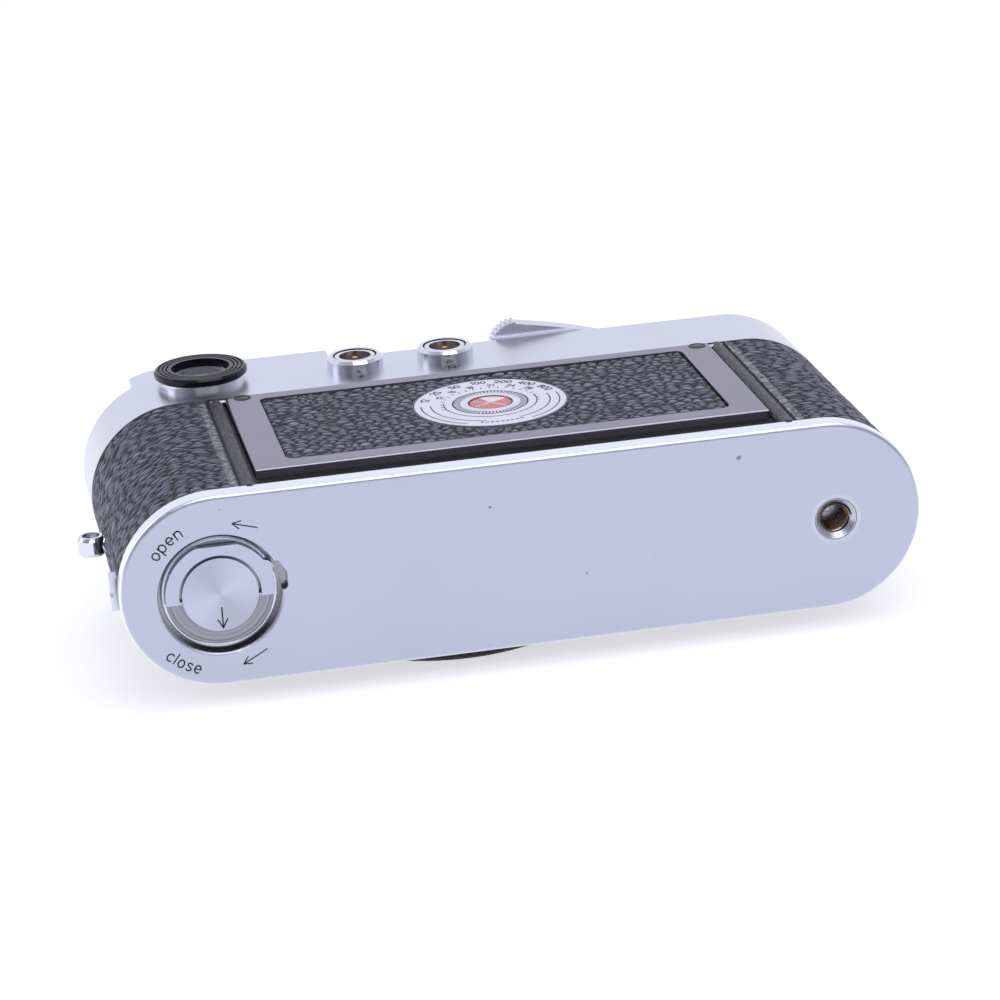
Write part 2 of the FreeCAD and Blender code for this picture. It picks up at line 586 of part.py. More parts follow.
# ---------------------------------------------------------------- back door
def back_door():
    body = new_body()
    inside = "door_face - door_plate"
    extrude(body, "Pad", "Z", inside, "door_face",
            (draw_outline, rectangle(("door_left", "door_right"), ("door_low", "door_high"))))
    extrude(body, "Pocket", "Z", "door_face - panel_deep", "door_face",
            (draw_outline, rectangle(("panel_left", "panel_right"), ("panel_low", "panel_high"))))
    dress(body, "Fillet", "panel_round",
          lambda edge: stands_up(edge) and on_sides(edge, ("panel_left", "panel_right"), ()))
    dress(body, "Fillet", "door_round",
          lambda edge: at_level(edge, "Z", "door_face")
          and on_sides(edge, ("door_left", "door_right"), ("door_low", "door_high")))
    pin_bore = rod("X", ("hinge_y", "hinge_z"), "-60", "60", "hinge_pin + running")
    middle = block(("door_left + 3", "door_right - 3"), ("50", "54"), ("15", "18"))
    shaft = rod("Z", ("dial_x", "dial_y"), "15", "18", "2 + running")
    piece(cut(body, cut(pin_bore, middle), shaft), "back_door")
    pins = fuse(rod("X", ("hinge_y", "hinge_z"), "post_left - 0.9", "door_left + 2.8", "hinge_pin"),
                rod("X", ("hinge_y", "hinge_z"), "door_right - 2.8", "post_right + 0.9", "hinge_pin"))
    piece(pins, "door_hinge_pins")


def door_fittings():
    leather = new_body()
    low = "door_face - panel_deep"
    extrude(leather, "Pad", "Z", low, "door_face - 0.05",
            (draw_outline, rectangle(("panel_left + 0.15", "panel_right - 0.15"),
                                     ("panel_low + 0.15", "panel_high - 0.15"))))
    extrude(leather, "Pocket", "Z", low, "door_face", (draw_circle, "dial_x", "dial_y", "dial_radius + 0.1"))
    dress(leather, "Fillet", "panel_round - 0.15",
          lambda edge: stands_up(edge)
          and on_sides(edge, ("panel_left + 0.15", "panel_right - 0.15"), ()))
    piece(leather, "door_leather")
    plate = block(("lens_x - 21.5", "lens_x + 21.5"), ("16", "51.6"),
                  ("film_plane + 0.35", "film_plane + 1.5"))
    piece(plate, "pressure_plate")
    spring = new_body()
    foot, top, thick = "film_plane + 1.55", "15.6", "0.35"
    outer = [("-17", foot), ("-12", foot), ("-3.5", f"{top} - {thick}"), ("3.5", f"{top} - {thick}"),
             ("12", foot), ("17", foot), ("17", f"{foot} + {thick}"), ("12.3", f"{foot} + {thick}"),
             ("3.8", top), ("-3.8", top), ("-12.3", f"{foot} + {thick}"), ("-17", f"{foot} + {thick}")]
    extrude(spring, "Pad", "Y", "lens_y - 4", "lens_y + 4",
            (draw_outline, [(f"lens_x + ({across})", up) for across, up in outer]))
    piece(spring, "pressure_spring")


def film_dial():
    spot = ("dial_x", "dial_y")
    low = "door_face - panel_deep"
    piece(tube("Z", spot, low, "door_face + dial_proud", "dial_radius", "dial_bore"), "film_dial_plate")
    rim = toothed("Z", spot, f"{low} + 0.1", "door_face + dial_proud",
                  knurl_outline("dial_knob", 48, 0.22))
    knob = fuse(rim, rod("Z", spot, "15.2", f"{low} + 0.1", "2"))
    seat = rod("Z", spot, "door_face - 0.15", "door_face + 1", "type_radius")
    piece(cut(knob, seat), "film_dial_knob")
    piece(rod("Z", spot, "door_face - 0.15", "door_face + 0.05", "type_radius"), "film_type_disc")


# ---------------------------------------------------------------- lens mount and front controls
def lens_mount():
    ring = tube("Z", LENS, FLANGE_FACE, SHELL_FRONT, "flange_radius", "flange_bore")
    spots = []
    for number in range(4):
        angle = math.radians(45 + 90 * number)
        spots.append((f"lens_x + {23.7 * math.cos(angle):.3f}", f"lens_y + {23.7 * math.sin(angle):.3f}"))
    holes = [rod("Z", spot, FLANGE_FACE, SHELL_FRONT, "0.9") for spot in spots]
    piece(cut(ring, *holes), "lens_flange")
    screws = []
    for x, y in spots:
        drive = block((f"{x} - 1", f"{x} + 1"), (f"{y} - 0.15", f"{y} + 0.15"),
                      (FLANGE_FACE, f"{FLANGE_FACE} + 0.4"))
        screws.append(cut(rod("Z", (x, y), FLANGE_FACE, SHELL_FRONT, "0.9"), drive))
    piece(fuse(*screws), "flange_screws")


def body_cap():
    inner = f"{FLANGE_FACE} - 0.1"
    crown = toothed("Z", LENS, f"{REST_FACE} + 0.5", inner, knurl_outline("cap_radius", 96, 0.35))
    face = cone("Z", LENS, REST_FACE, f"{REST_FACE} + 0.5", "cap_radius - 0.75", "cap_radius - 0.35")
    hollow = rod("Z", LENS, f"{REST_FACE} + 1.6", inner, "cap_radius - 2.2")
    bayonet = tube("Z", LENS, f"{REST_FACE} + 1.6", f"{SHELL_FRONT} - 0.05",
                   "flange_bore - 0.3", "flange_bore - 1.8")
    piece(fuse(cut(fuse(crown, face), hollow), bayonet), "body_cap")


def front_lever(label, x, y, hub, reach, direction):
    """A flat lever on a round hub that stands on the front of the shell."""
    face = f"{FRONT} - 2.2"
    low = f"{FRONT} - 0.35"
    boss = rod("Z", (x, y), face, SHELL_FRONT, f"{hub} - 0.2")
    tip = f"{y} + ({direction}) * {reach}"
    ends = (tip, y) if direction < 0 else (y, tip)
    arm = block((f"{x} - 1.5", f"{x} + 1.5"), ends, (face, low))
    end = rod("Z", (x, tip), face, low, "2.1")
    piece(fuse(boss, arm, end), label)


def front_controls():
    front_lever("self_timer_lever", "timer_x", "timer_y", "timer_hub", "timer_reach", 1)
    front_lever("frame_selector_lever", "selector_x", "selector_y", "selector_hub", "selector_reach", -1)
    front_lever("rewind_release_lever", "release_x", "release_y", "release_hub", "release_reach", -1)
    latch = ("latch_x", "latch_y")
    piece(tube("Z", latch, f"{FRONT} - 1.6", SHELL_FRONT, "latch_guard", "latch_radius + 0.3"),
          "lens_release_guard")
    piece(fuse(rod("Z", latch, f"{FRONT} - 2.6", "-14", "latch_radius"),
               rod("Z", latch, "-14", "-12.6", "1.2")), "lens_release_button")


# ---------------------------------------------------------------- controls on top


def wind_lever():
    hub = rod("Y", WIND, "lever_low", "hub_high", "wind_hub")
    arm = doc.addObject("Part::Feature", "arm")
    top = value("lever_low")
    arcs = (((13.4, 19.0), (28.0, 15.9), (45.0, 9.4)), ((42.0, 5.5), (27.0, 11.6), (13.4, 14.6)))
    corners = [[FreeCAD.Vector(x, top, z) for x, z in arc] for arc in arcs]
    edges = []
    for arc, following in zip(corners, corners[1:] + corners[:1]):
        edges.append(Part.Arc(*arc).toShape())
        edges.append(Part.LineSegment(arc[2], following[0]).toShape())
    face = Part.Face(Part.Wire(edges))
    arm.Shape = face.extrude(FreeCAD.Vector(0, value("lever_high - lever_low"), 0))
    whole = rod("Y", ("tip_x", "tip_z"), "lever_low", "lever_high", "tip_radius")
    inner_half = block(("tip_x - tip_radius - 1", "tip_x + tip_radius + 1"), ("lever_low - 1", "lever_high + 1"),
                       ("tip_z - tip_radius - 1", "tip_z"))
    tip = cut(whole, inner_half)
    ridges = []
    for number in range(8):                       # thumb serrations round the quarter circle of the tip
        angle = f"{93 + 11.8 * number:.1f} deg"
        spot = (f"tip_x + tip_radius * cos({angle})", f"tip_z + tip_radius * sin({angle})")
        ridges.append(rod("Y", spot, "lever_low", "lever_high", "0.42"))
    bore = rod("Y", WIND, "70", "78", "wind_bore + 0.1")
    piece(cut(fuse(hub, arm, tip, *ridges), bore), "wind_lever")
    collar = tube("Y", WIND, "hub_high", "collar_high", "collar_radius", "button_radius + running")
    piece(collar, "wind_lever_nut")
    wheel = gear(TEETH["wind"], WIND, "gear_low", "gear_high", SPROCKET, 0)
    shaft = fuse(wheel, rod("Y", WIND, "gear_low", "lever_low", "wind_shaft"))
    piece(cut(shaft, rod("Y", WIND, "50", "78", "wind_bore")), "wind_gear")


def shutter_button():
    shape = fuse(rod("Y", WIND, "71", "button_high", "button_radius"),
                 rod("Y", WIND, "61.5", "71", "stem_radius"))
    thread = cone("Y", WIND, "button_high - 4", "button_high", "0.8", "1.5")
    piece(cut(shape, thread), "shutter_button")


def speed_dial():
    spot = ("speed_x", "speed_z")
    rim = toothed("Y", spot, "speed_low", "speed_high - 0.8", knurl_outline("speed_radius", 60, 0.3))
    cap = rod("Y", spot, "speed_high - 0.8", "speed_high", "speed_radius - 1.2")
    piece(fuse(rim, cap, rod("Y", spot, "66", "speed_low", "2")), "shutter_speed_dial")


def frame_counter():
    piece(rod("Y", ("counter_x", "window_z"), "cover_high - cover_wall", "cover_high + 0.3", "window_radius"),
          "counter_window")
    disc = fuse(rod("Y", ("counter_x", "counter_z"), "69.0", "69.8", "counter_radius"),
                rod("Y", ("counter_x", "counter_z"), "cover_low", "69", "0.8"))
    piece(disc, "counter_disc")


def rewind():
    crown = toothed("Y", KEY, "rewind_low + 1.2", "rewind_high - 0.6",
                    knurl_outline("rewind_radius", 64, 0.35))
    skirt = rod("Y", KEY, "rewind_low", "rewind_low + 1.2", "rewind_radius - 0.7")
    top = cone("Y", KEY, "rewind_high - 0.6", "rewind_high", "rewind_radius - 0.4", "rewind_radius - 1.0")
    bore = rod("Y", KEY, "70", "rewind_high - 1.4", "rewind_shaft + running")
    piece(cut(fuse(crown, skirt, top), bore), "rewind_knob")
    stem = rod("Y", KEY, "47", "rewind_high - 1.6", "rewind_shaft")
    prongs = [block((f"key_x - 0.5 + {side} * 1.1", f"key_x + 0.5 + {side} * 1.1"), ("43.5", "47"),
                    ("key_z - 0.9", "key_z + 0.9")) for side in (-1, 1)]
    piece(fuse(stem, *prongs), "rewind_fork")


def accessory_shoe():
    half = "(shoe_inner / 2 + shoe_wall)"
    x = (f"shoe_x - {half}", f"shoe_x + {half}")
    z = ("shoe_z - shoe_length / 2", "shoe_z + shoe_length / 2")
    low = "cover_high"
    high = "cover_high + shoe_base + shoe_gap + shoe_lip"
    outer = block(x, (low, high), z)
    channel = block(("shoe_x - shoe_inner / 2", "shoe_x + shoe_inner / 2"),
                    (f"{low} + shoe_base", f"{low} + shoe_base + shoe_gap"), ("shoe_z - 20", "shoe_z + 20"))
    mouth = block(("shoe_x - shoe_mouth / 2", "shoe_x + shoe_mouth / 2"),
                  (f"{low} + shoe_base", "80"), ("shoe_z - 20", "shoe_z + 20"))
    spots = [(f"shoe_x + {across}", f"shoe_z + {along}") for across in (-4.5, 4.5) for along in (-6, 6)]
    holes = [rod("Y", spot, low, f"{low} + shoe_base", "1.2") for spot in spots]
    piece(cut(outer, channel, mouth, *holes), "accessory_shoe")
    screws = [cut(rod("Y", (x, z), low, f"{low} + shoe_base", "1.2"),
                  block((f"{x} - 1.3", f"{x} + 1.3"), (f"{low} + shoe_base - 0.3", f"{low} + 1"),
                        (f"{z} - 0.15", f"{z} + 0.15"))) for x, z in spots]
    piece(fuse(*screws), "shoe_screws")


# ---------------------------------------------------------------- mechanism


def mechanism_deck():
    body = new_body()
    extrude(body, "Pad", "Y", "cover_low", DECK_HIGH,
            (draw_slot, END_X, f"{COVER_DEPTH} - cover_wall - 0.1"))
    shafts = ((KEY, "rewind_shaft"), (WIND, "spool_shaft"), (SPROCKET, "sprocket_shaft"),
              (DRUM, "drum_shaft"), (("counter_x", "counter_z"), "0.8"))
    holes = [rod("Y", spot, "50", "56", f"{radius} + running") for spot, radius in shafts]
    arm_slot = block(("lens_x - 3", "lens_x + 3"), ("50", "56"), ("-17", "-4.4"))
    piece(cut(body, arm_slot, *holes), "mechanism_deck")


def shutter_crate():
    half = "gate_width / 2"
    box = block((f"lens_x - {half} - 2.2", f"lens_x + {half} + 2.2"), ("18.5", "51.5"),
                (f"-{SHELL_IN}", "6.8"))
    links = [block((f"lens_x - {half} - 2.2", f"lens_x + {half} + 2.2"), y, ("6.8", "8.2"))
             for y in (("18.5", "19.8"), ("50.2", "51.5"))]
    plate = block(("roller_x - 3.5", "drum_x + 4.5"), ("8.2", "52.4"), ("8.2", "film_plane"))
    floor = block(("roller_x - 3.5", "sprocket_x + 5.5"), ("7", "8.2"), ("-12", "film_plane"))
    rails = [block(("lens_x - 22", "lens_x + 22"), y, ("film_plane", "film_plane + 0.2"))
             for y in (("16.0", "17.0"), ("51.0", "52.0"))]
    front_leg = block((f"lens_x - {half} - 2.2", f"lens_x + {half} + 2.2"), ("8.2", "18.5"), ("-12", "-10"))
    light_path = block((f"lens_x - {half} - 1.1", f"lens_x + {half} + 1.1"), ("20.5", "47.5"), ("-20", "6.8"))
    gate = block((f"lens_x - {half}", f"lens_x + {half}"),
                 ("lens_y - gate_height / 2", "lens_y + gate_height / 2"), ("6", "12"))
    shafts = ((SPROCKET, "sprocket_shaft"), (DRUM, "drum_shaft"), (ROLLER, "roller_shaft"))
    bearings = [rod("Y", spot, "6", "9", f"{radius} + running") for spot, radius in shafts]
    crate = fuse(box, plate, floor, front_leg, *links, *rails)
    piece(cut(crate, light_path, gate, *bearings), "shutter_crate")


def shutter_curtains():
    for label, low, x in (("first_curtain", "7.5", ("lens_x - 20", "drum_x + 2")),
                          ("second_curtain", "7.05", ("roller_x - 2", "lens_x + 19"))):
        piece(block(x, ("20.6", "49.8"), (low, f"{low} + 0.25")), label)


def film_drive():
    wheel = gear(TEETH["sprocket"], SPROCKET, "gear_low", "gear_high", WIND, 0.5)
    lower = gear(TEETH["spool"], SPROCKET, "spool_gear_low", "spool_gear_high", WIND, 0.5)
    teeth = [toothed("Y", SPROCKET, low, f"{low} + 1.3", sprocket_outline()) for low in ("19.4", "47.4")]
    piece(fuse(rod("Y", SPROCKET, "7", "gear_high", "sprocket_shaft"),
               rod("Y", SPROCKET, "17", "51", "sprocket_core"), *teeth, wheel, lower), "sprocket_roller")
    spool_wheel = gear(TEETH["spool"], WIND, "spool_gear_low", "spool_gear_high", SPROCKET, 0)
    piece(fuse(tube("Y", WIND, "8", "51", "spool_core", "5.6"),
               rod("Y", WIND, "8", "9", "spool_flange"), rod("Y", WIND, "51", "52", "spool_flange"),
               rod("Y", WIND, "52", "spool_gear_high", "spool_shaft"), spool_wheel), "take_up_spool")


def sprocket_outline():
    """Eight small teeth that fit the film's holes, on the sprocket's rim."""
    points = []
    radius = SIZES["sprocket_radius"]
    for tooth in range(8):
        for share, reach in ((-0.25, 0.0), (-0.13, 0.0), (-0.08, 1.2), (0.08, 1.2), (0.13, 0.0), (0.25, 0.0)):
            angle = 2 * math.pi * (tooth + share) / 8
            points.append(((radius + reach) * math.cos(angle), (radius + reach) * math.sin(angle)))
    return points


def curtain_rollers():
    in_mesh = (bearing(SPROCKET, WIND) - bearing(SPROCKET, DRUM)) * TEETH["sprocket"] / (2 * math.pi)
    wheel = gear(TEETH["drum"], DRUM, "gear_low", "gear_high", SPROCKET, in_mesh)
    shaft = rod("Y", DRUM, "7", "gear_high", "drum_shaft")
    piece(fuse(shaft, rod("Y", DRUM, *ROLLERS_Y, "drum_radius"), wheel), "curtain_drum")
    shaft = rod("Y", ROLLER, "7", "52.2", "roller_shaft")
    piece(fuse(shaft, rod("Y", ROLLER, *ROLLERS_Y, "roller_radius")), "spring_roller")


def cassette_chamber():
    wall = tube("Y", KEY, "5.8", "53.2", "chamber_outer", "chamber_inner")
    piece(cut(wall, block(("-70", "-38"), ("5", "54"), ("8", "20"))), "cassette_chamber")


def rangefinder_arm():
    bar = block(("lens_x - 2", "arm_x + 3"), ("55", "56.2"), ("arm_z - 1.5", "arm_z + 1.5"))
    leg = block(("lens_x - 2", "lens_x + 2"), ("53.4", "56.2"), ("-13.4", "arm_z + 1.5"))
    wheel = rod("Y", ("lens_x", "-12.6"), "51.8", "53.4", "2")
    pivot = rod("Y", ("arm_x", "arm_z"), DECK_HIGH, "57.5", "1.2")
    piece(fuse(bar, leg, wheel, pivot), "rangefinder_arm")


for make in (base_plate, tripod_bush, base_key, base_tongue, body_shell, body_covering, end_fittings,
             top_cover, finder, flash_sockets, back_door, door_fittings, film_dial, lens_mount, body_cap,
             front_controls, wind_lever, shutter_button, speed_dial, frame_counter, rewind,
             accessory_shoe, mechanism_deck, shutter_crate, shutter_curtains, film_drive,
             curtain_rollers, cassette_chamber, rangefinder_arm):
    make()
doc.recompute()

# ---------------------------------------------------------------- check and write
for item in doc.Objects:
    if "Invalid" in item.State or "Error" in item.State:
        raise SystemExit(f"{item.Name} ({item.Label}) did not compute: {item.State}")
for item in pieces:
    if item.Shape.isNull() or not item.Shape.isValid() or not item.Shape.Solids:
        raise SystemExit(f"{item.Label} is not a valid solid")
os.makedirs("parts", exist_ok=True)
for item in pieces:
    item.Shape.exportStep(os.path.join("parts", item.Label + ".step"))
    box = item.Shape.BoundBox
    print(f"{item.Label:24s} solids {len(item.Shape.Solids)} volume {item.Shape.Volume:9.1f}",
          f"x {box.XMin:7.2f} {box.XMax:7.2f}", f"y {box.YMin:7.2f} {box.YMax:7.2f}",
          f"z {box.ZMin:6.2f} {box.ZMax:6.2f}")
print(len(pieces), "pieces")
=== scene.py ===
"""Looks for the rangefinder film camera: materials, leather grain, engraving and studio light.

Places are in the camera's own axes, in millimetres from the middle of the base plate's outer face: X across the
back, Y up to the top cover, and Z out of the back.
"""
import bpy
import bmesh
import json
import math
import numpy as np
from mathutils import Matrix, Vector


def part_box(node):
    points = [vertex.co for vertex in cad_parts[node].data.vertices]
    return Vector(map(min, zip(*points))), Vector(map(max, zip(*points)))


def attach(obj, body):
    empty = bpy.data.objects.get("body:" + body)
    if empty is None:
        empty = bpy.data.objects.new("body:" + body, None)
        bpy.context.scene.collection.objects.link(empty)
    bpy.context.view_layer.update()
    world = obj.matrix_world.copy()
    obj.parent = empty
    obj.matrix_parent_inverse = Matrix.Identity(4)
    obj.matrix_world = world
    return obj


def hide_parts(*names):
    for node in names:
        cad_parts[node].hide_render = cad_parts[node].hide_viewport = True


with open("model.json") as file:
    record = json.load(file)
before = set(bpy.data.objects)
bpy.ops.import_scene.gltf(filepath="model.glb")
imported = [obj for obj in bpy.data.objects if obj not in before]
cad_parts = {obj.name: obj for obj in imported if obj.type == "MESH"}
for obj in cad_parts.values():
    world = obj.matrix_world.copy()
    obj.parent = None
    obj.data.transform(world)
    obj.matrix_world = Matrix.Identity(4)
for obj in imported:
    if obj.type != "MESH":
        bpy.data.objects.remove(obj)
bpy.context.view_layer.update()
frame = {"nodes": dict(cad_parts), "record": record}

MM = 0.001
nodes = frame["nodes"]

# ---------------------------------------------------------------- places
plate_low, plate_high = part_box("base_plate")
ORIGIN = Vector(((plate_low.x + plate_high.x) / 2, plate_low.y, (plate_low.z + plate_high.z) / 2))
ROUND = (plate_high.z - plate_low.z) / 2 / MM           # radius of the rounded ends
REACH = (plate_high.x - plate_low.x) / 2 / MM - ROUND   # how far out the rounded ends are centred


def at(x, y, z):
    """A point in the camera's own axes, in millimetres, as a point in the frame, in metres."""
    return ORIGIN + Vector((x, y, z)) * MM


def own(point):
    """A frame point back in the camera's own axes, in millimetres."""
    return (Vector(point) - ORIGIN) / MM


def middle(node):
    low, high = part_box(node)
    return own((low + high) / 2)


def top_of(node):
    return own(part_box(node)[1])


def bottom_of(node):
    return own(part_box(node)[0])


def pivot(joint):
    """Where a joint's axis passes."""
    joints = frame["record"]["behaviour"]["joints"]
    return own(next(entry["pos_m"] for entry in joints if entry["name"] == joint))


# ---------------------------------------------------------------- camera, floor and light
CAMERA_AT = (-100.8, -546.1, 202.4)
CAMERA_AIM = (-3.7, 2.8, 9.1)
CAMERA_ROLL = math.radians(-3.56)
CAMERA_LENS = 126.2

LIGHT_COLOR = (0.96, 0.97, 1.0)
WALL_COLOR = (0.93, 0.94, 1.05)
WALL_STOPS = ((0.0, 0.06), (0.12, 0.16), (0.30, 0.42), (0.52, 0.62), (0.70, 0.96))   # from -Y round to +Y
FLOOR_HALF = 8.0                                        # metres


def make_camera():
    data = bpy.data.cameras.new("camera")
    data.lens = CAMERA_LENS
    data.sensor_width = 36
    data.clip_end = 50
    camera = bpy.data.objects.new("camera", data)
    bpy.context.scene.collection.objects.link(camera)
    spot = at(*CAMERA_AT)
    aim = (at(*CAMERA_AIM) - spot).to_track_quat("-Z", "Y").to_matrix().to_4x4()
    camera.matrix_world = Matrix.Translation(spot) @ aim @ Matrix.Rotation(CAMERA_ROLL, 4, "Z")
    bpy.context.scene.camera = camera


def area_light(name, spot, aim, size, power):
    data = bpy.data.lights.new(name, "AREA")
    data.shape = "RECTANGLE"
    data.size, data.size_y = size
    data.energy = power
    data.color = LIGHT_COLOR
    light = bpy.data.objects.new(name, data)
    bpy.context.scene.collection.objects.link(light)
    start = at(*spot)
    turn = (at(*aim) - start).to_track_quat("-Z", "Y").to_matrix().to_4x4()
    light.matrix_world = Matrix.Translation(start) @ turn


def studio_world():
    """White studio walls behind the object, dim overhead and dark on the side where the camera stands."""
    world = bpy.data.worlds.new("studio")
    world.use_nodes = True
    tree = world.node_tree
    background = tree.nodes["Background"]
    coords = tree.nodes.new("ShaderNodeTexCoord")
    split = tree.nodes.new("ShaderNodeSeparateXYZ")
    ramp = tree.nodes.new("ShaderNodeValToRGB")
    shift = tree.nodes.new("ShaderNodeMapRange")
    shift.inputs["From Min"].default_value = -1
    tree.links.new(coords.outputs["Generated"], split.inputs["Vector"])
    tree.links.new(split.outputs["Y"], shift.inputs["Value"])
    tree.links.new(shift.outputs["Result"], ramp.inputs["Fac"])
    tree.links.new(ramp.outputs["Color"], background.inputs["Color"])
    elements = ramp.color_ramp.elements
    while len(elements) < len(WALL_STOPS):
        elements.new(0.5)
    for element, (position, level) in zip(elements, WALL_STOPS):
        element.position = position
        element.color = (*(channel * level for channel in WALL_COLOR), 1)
    background.inputs["Strength"].default_value = 1.0
    return world


def make_stage():
    mesh = bpy.data.meshes.new("floor")
    corners = [(x * FLOOR_HALF, y * FLOOR_HALF, 0) for x, y in ((-1, -1), (1, -1), (1, 1), (-1, 1))]
    mesh.from_pydata(corners, [], [(0, 1, 2, 3)])
    floor = bpy.data.objects.new("floor", mesh)
    bpy.context.scene.collection.objects.link(floor)
    floor.data.materials.append(floor_material())
    bpy.context.scene.world = studio_world()
    area_light("top_light", (150, -290, 840), (0, 20, 0), (0.75, 0.45), 2.2)
    area_light("front_light", (60, -700, 620), (0, 20, 0), (0.9, 0.30), 1.9)
    area_light("side_light", (-620, 160, 300), (0, 30, 0), (0.3, 0.5), 0.5)
    settings = bpy.context.scene.view_settings
    settings.view_transform = "Standard"
    settings.look = "None"
    settings.exposure = 0.0


# ---------------------------------------------------------------- node materials
class Nodes:
    """A short way to write a material's node tree around one Principled shader."""

    def __init__(self, name):
        self.material = bpy.data.materials.new(name)
        self.material.use_nodes = True
        self.tree = self.material.node_tree
        self.shader = self.tree.nodes["Principled BSDF"]

    def add(self, kind, **settings):
        node = self.tree.nodes.new("ShaderNode" + kind)
        for key, setting in settings.items():
            if hasattr(node, key):
                setattr(node, key, setting)
            else:
                node.inputs[key.replace("_", " ")].default_value = setting
        return node

    def link(self, source, target):
        self.tree.links.new(source, target)

    def set(self, **values):
        for key, number in values.items():
            self.shader.inputs[key.replace("_", " ")].default_value = number

    def coords(self, stretch=(1, 1, 1)):
        """Object coordinates in millimetres, stretched by a factor along each axis."""
        mapping = self.add("Mapping")
        mapping.inputs["Scale"].default_value = [s / MM for s in stretch]
        self.link(self.add("TexCoord").outputs["Object"], mapping.inputs["Vector"])
        return mapping.outputs["Vector"]

    def noise(self, scale, detail=3.0, stretch=(1, 1, 1), roughness=0.55):
        noise = self.add("TexNoise", Scale=scale, Detail=detail, Roughness=roughness)
        self.link(self.coords(stretch), noise.inputs["Vector"])
        return noise.outputs["Fac"]

    def ramp(self, factor, *stops):
        ramp = self.add("ValToRGB")
        elements = ramp.color_ramp.elements
        while len(elements) < len(stops):
            elements.new(0.5)
        for element, (position, color) in zip(elements, stops):
            element.position = position
            element.color = (*color, 1)
        self.link(factor, ramp.inputs["Fac"])
        return ramp.outputs["Color"]

    def mask(self, factor, low, high):
        """Black below `low` and white above `high`."""
        return self.ramp(factor, (low, (0, 0, 0)), (high, (1, 1, 1)))

    def spread(self, factor, low, high):
        """Maps 0..1 to low..high."""
        spread = self.add("MapRange")
        spread.inputs["To Min"].default_value = low
        spread.inputs["To Max"].default_value = high
        self.link(factor, spread.inputs["Value"])
        return spread.outputs["Result"]

    def between(self, value, low, high):
        """Maps low..high to 0..1, clamped."""
        mapped = self.add("MapRange")
        mapped.inputs["From Min"].default_value = low
        mapped.inputs["From Max"].default_value = high
        self.link(value, mapped.inputs["Value"])
        return mapped.outputs["Result"]

    def calc(self, operation, *values):
        """One Math node; each value is a node output or a number."""
        node = self.add("Math", operation=operation)
        for socket, value in zip(node.inputs, values):
            if isinstance(value, (int, float)):
                socket.default_value = value
            else:
                self.link(value, socket)
        return node.outputs["Value"]

    def axes(self, vector):
        split = self.add("SeparateXYZ")
        self.link(vector, split.inputs["Vector"])
        return split.outputs

    def place(self):
        """Where the surface is, in the frame's metres, one output for each axis."""
        return self.axes(self.add("TexCoord").outputs["Object"])

    def offset(self, centre):
        """Millimetres across from the line along Y through a point."""
        spot = at(*centre) / MM
        shift = self.add("Mapping")
        shift.inputs["Location"].default_value = (-spot.x, 0, -spot.z)
        shift.inputs["Scale"].default_value = (1 / MM, 0, 1 / MM)
        self.link(self.add("TexCoord").outputs["Object"], shift.inputs["Vector"])
        return shift.outputs["Vector"]

    def length(self, vector):
        measure = self.add("VectorMath", operation="LENGTH")
        self.link(vector, measure.inputs[0])
        return measure.outputs["Value"]

    def rings(self, distance, scale, detail):
        """Noise that only changes with a distance."""
        rings = self.add("TexNoise", noise_dimensions="1D", Scale=scale, Detail=detail)
        self.link(distance, rings.inputs["W"])
        return rings.outputs["Fac"]

    def mix(self, factor, first, second):
        mix = self.add("Mix", data_type="RGBA")
        for socket, source in ((mix.inputs[6], first), (mix.inputs[7], second)):
            if isinstance(source, tuple):
                socket.default_value = (*source, 1)
            else:
                self.link(source, socket)
        self.link(factor, mix.inputs[0])
        return mix.outputs[2]

    def color(self, source):
        self.link(source, self.shader.inputs["Base Color"])

    def rough(self, source):
        self.link(source, self.shader.inputs["Roughness"])

    def bump(self, height, distance):
        bump = self.add("Bump", Strength=1.0)
        bump.inputs["Distance"].default_value = distance * MM
        self.link(height, bump.inputs["Height"])
        self.link(bump.outputs["Normal"], self.shader.inputs["Normal"])


def tint(color, factor):
    return tuple(min(1.0, channel * factor) for channel in color)


def metal(name, color, roughness, grain=9.0, bump=0.004, vary=0.05):
    """Plated or bare metal: a fine grain, slow patches of wear and a slightly uneven gloss."""
    n = Nodes(name)
    n.set(Metallic=1.0)
    patches = n.noise(0.09, 4)
    fine = n.noise(grain, 2)
    n.color(n.ramp(patches, (0.3, tint(color, 1 - vary)), (0.7, tint(color, 1 + vary))))
    n.rough(n.spread(fine, roughness * 0.8, roughness * 1.2))
    n.bump(fine, bump)
    return n.material


def brushed_disc(name, color, roughness, centre):
    """The key's disc: its raised middle is finely turned and carries a painted bow-tie sheen, its lower ring is
    duller and streaked.
    """
    n = Nodes(name)
    n.set(Metallic=1.0)
    offset = n.offset(centre)
    distance = n.length(offset)
    rings = n.rings(distance, 2.6, 3.0)
    across = n.axes(offset)
    # painted reflection: the middle's colour turns lighter and darker with the angle round the disc, a painted
    # bow-tie sheen that turned then carries
    angle = n.calc("ARCTAN2", across["Z"], across["X"])
    painted_sheen = n.between(n.calc("SINE", n.calc("MULTIPLY_ADD", angle, 2.0, 0.6)), -1, 1)
    turned = n.mix(painted_sheen, tint(color, 0.86), tint(color, 1.12))
    turned = n.mix(n.spread(rings, 0.0, 0.35), turned, tint(color, 0.9))
    dull = n.ramp(rings, (0.40, (0.20, 0.205, 0.24)), (0.62, (0.37, 0.375, 0.43)))
    n.color(n.mix(n.between(distance, KEY_STEP - 0.08, KEY_STEP), turned, dull))
    n.rough(n.spread(n.noise(0.5), roughness * 0.9, roughness * 1.1))
    n.bump(rings, 0.004)
    return n.material


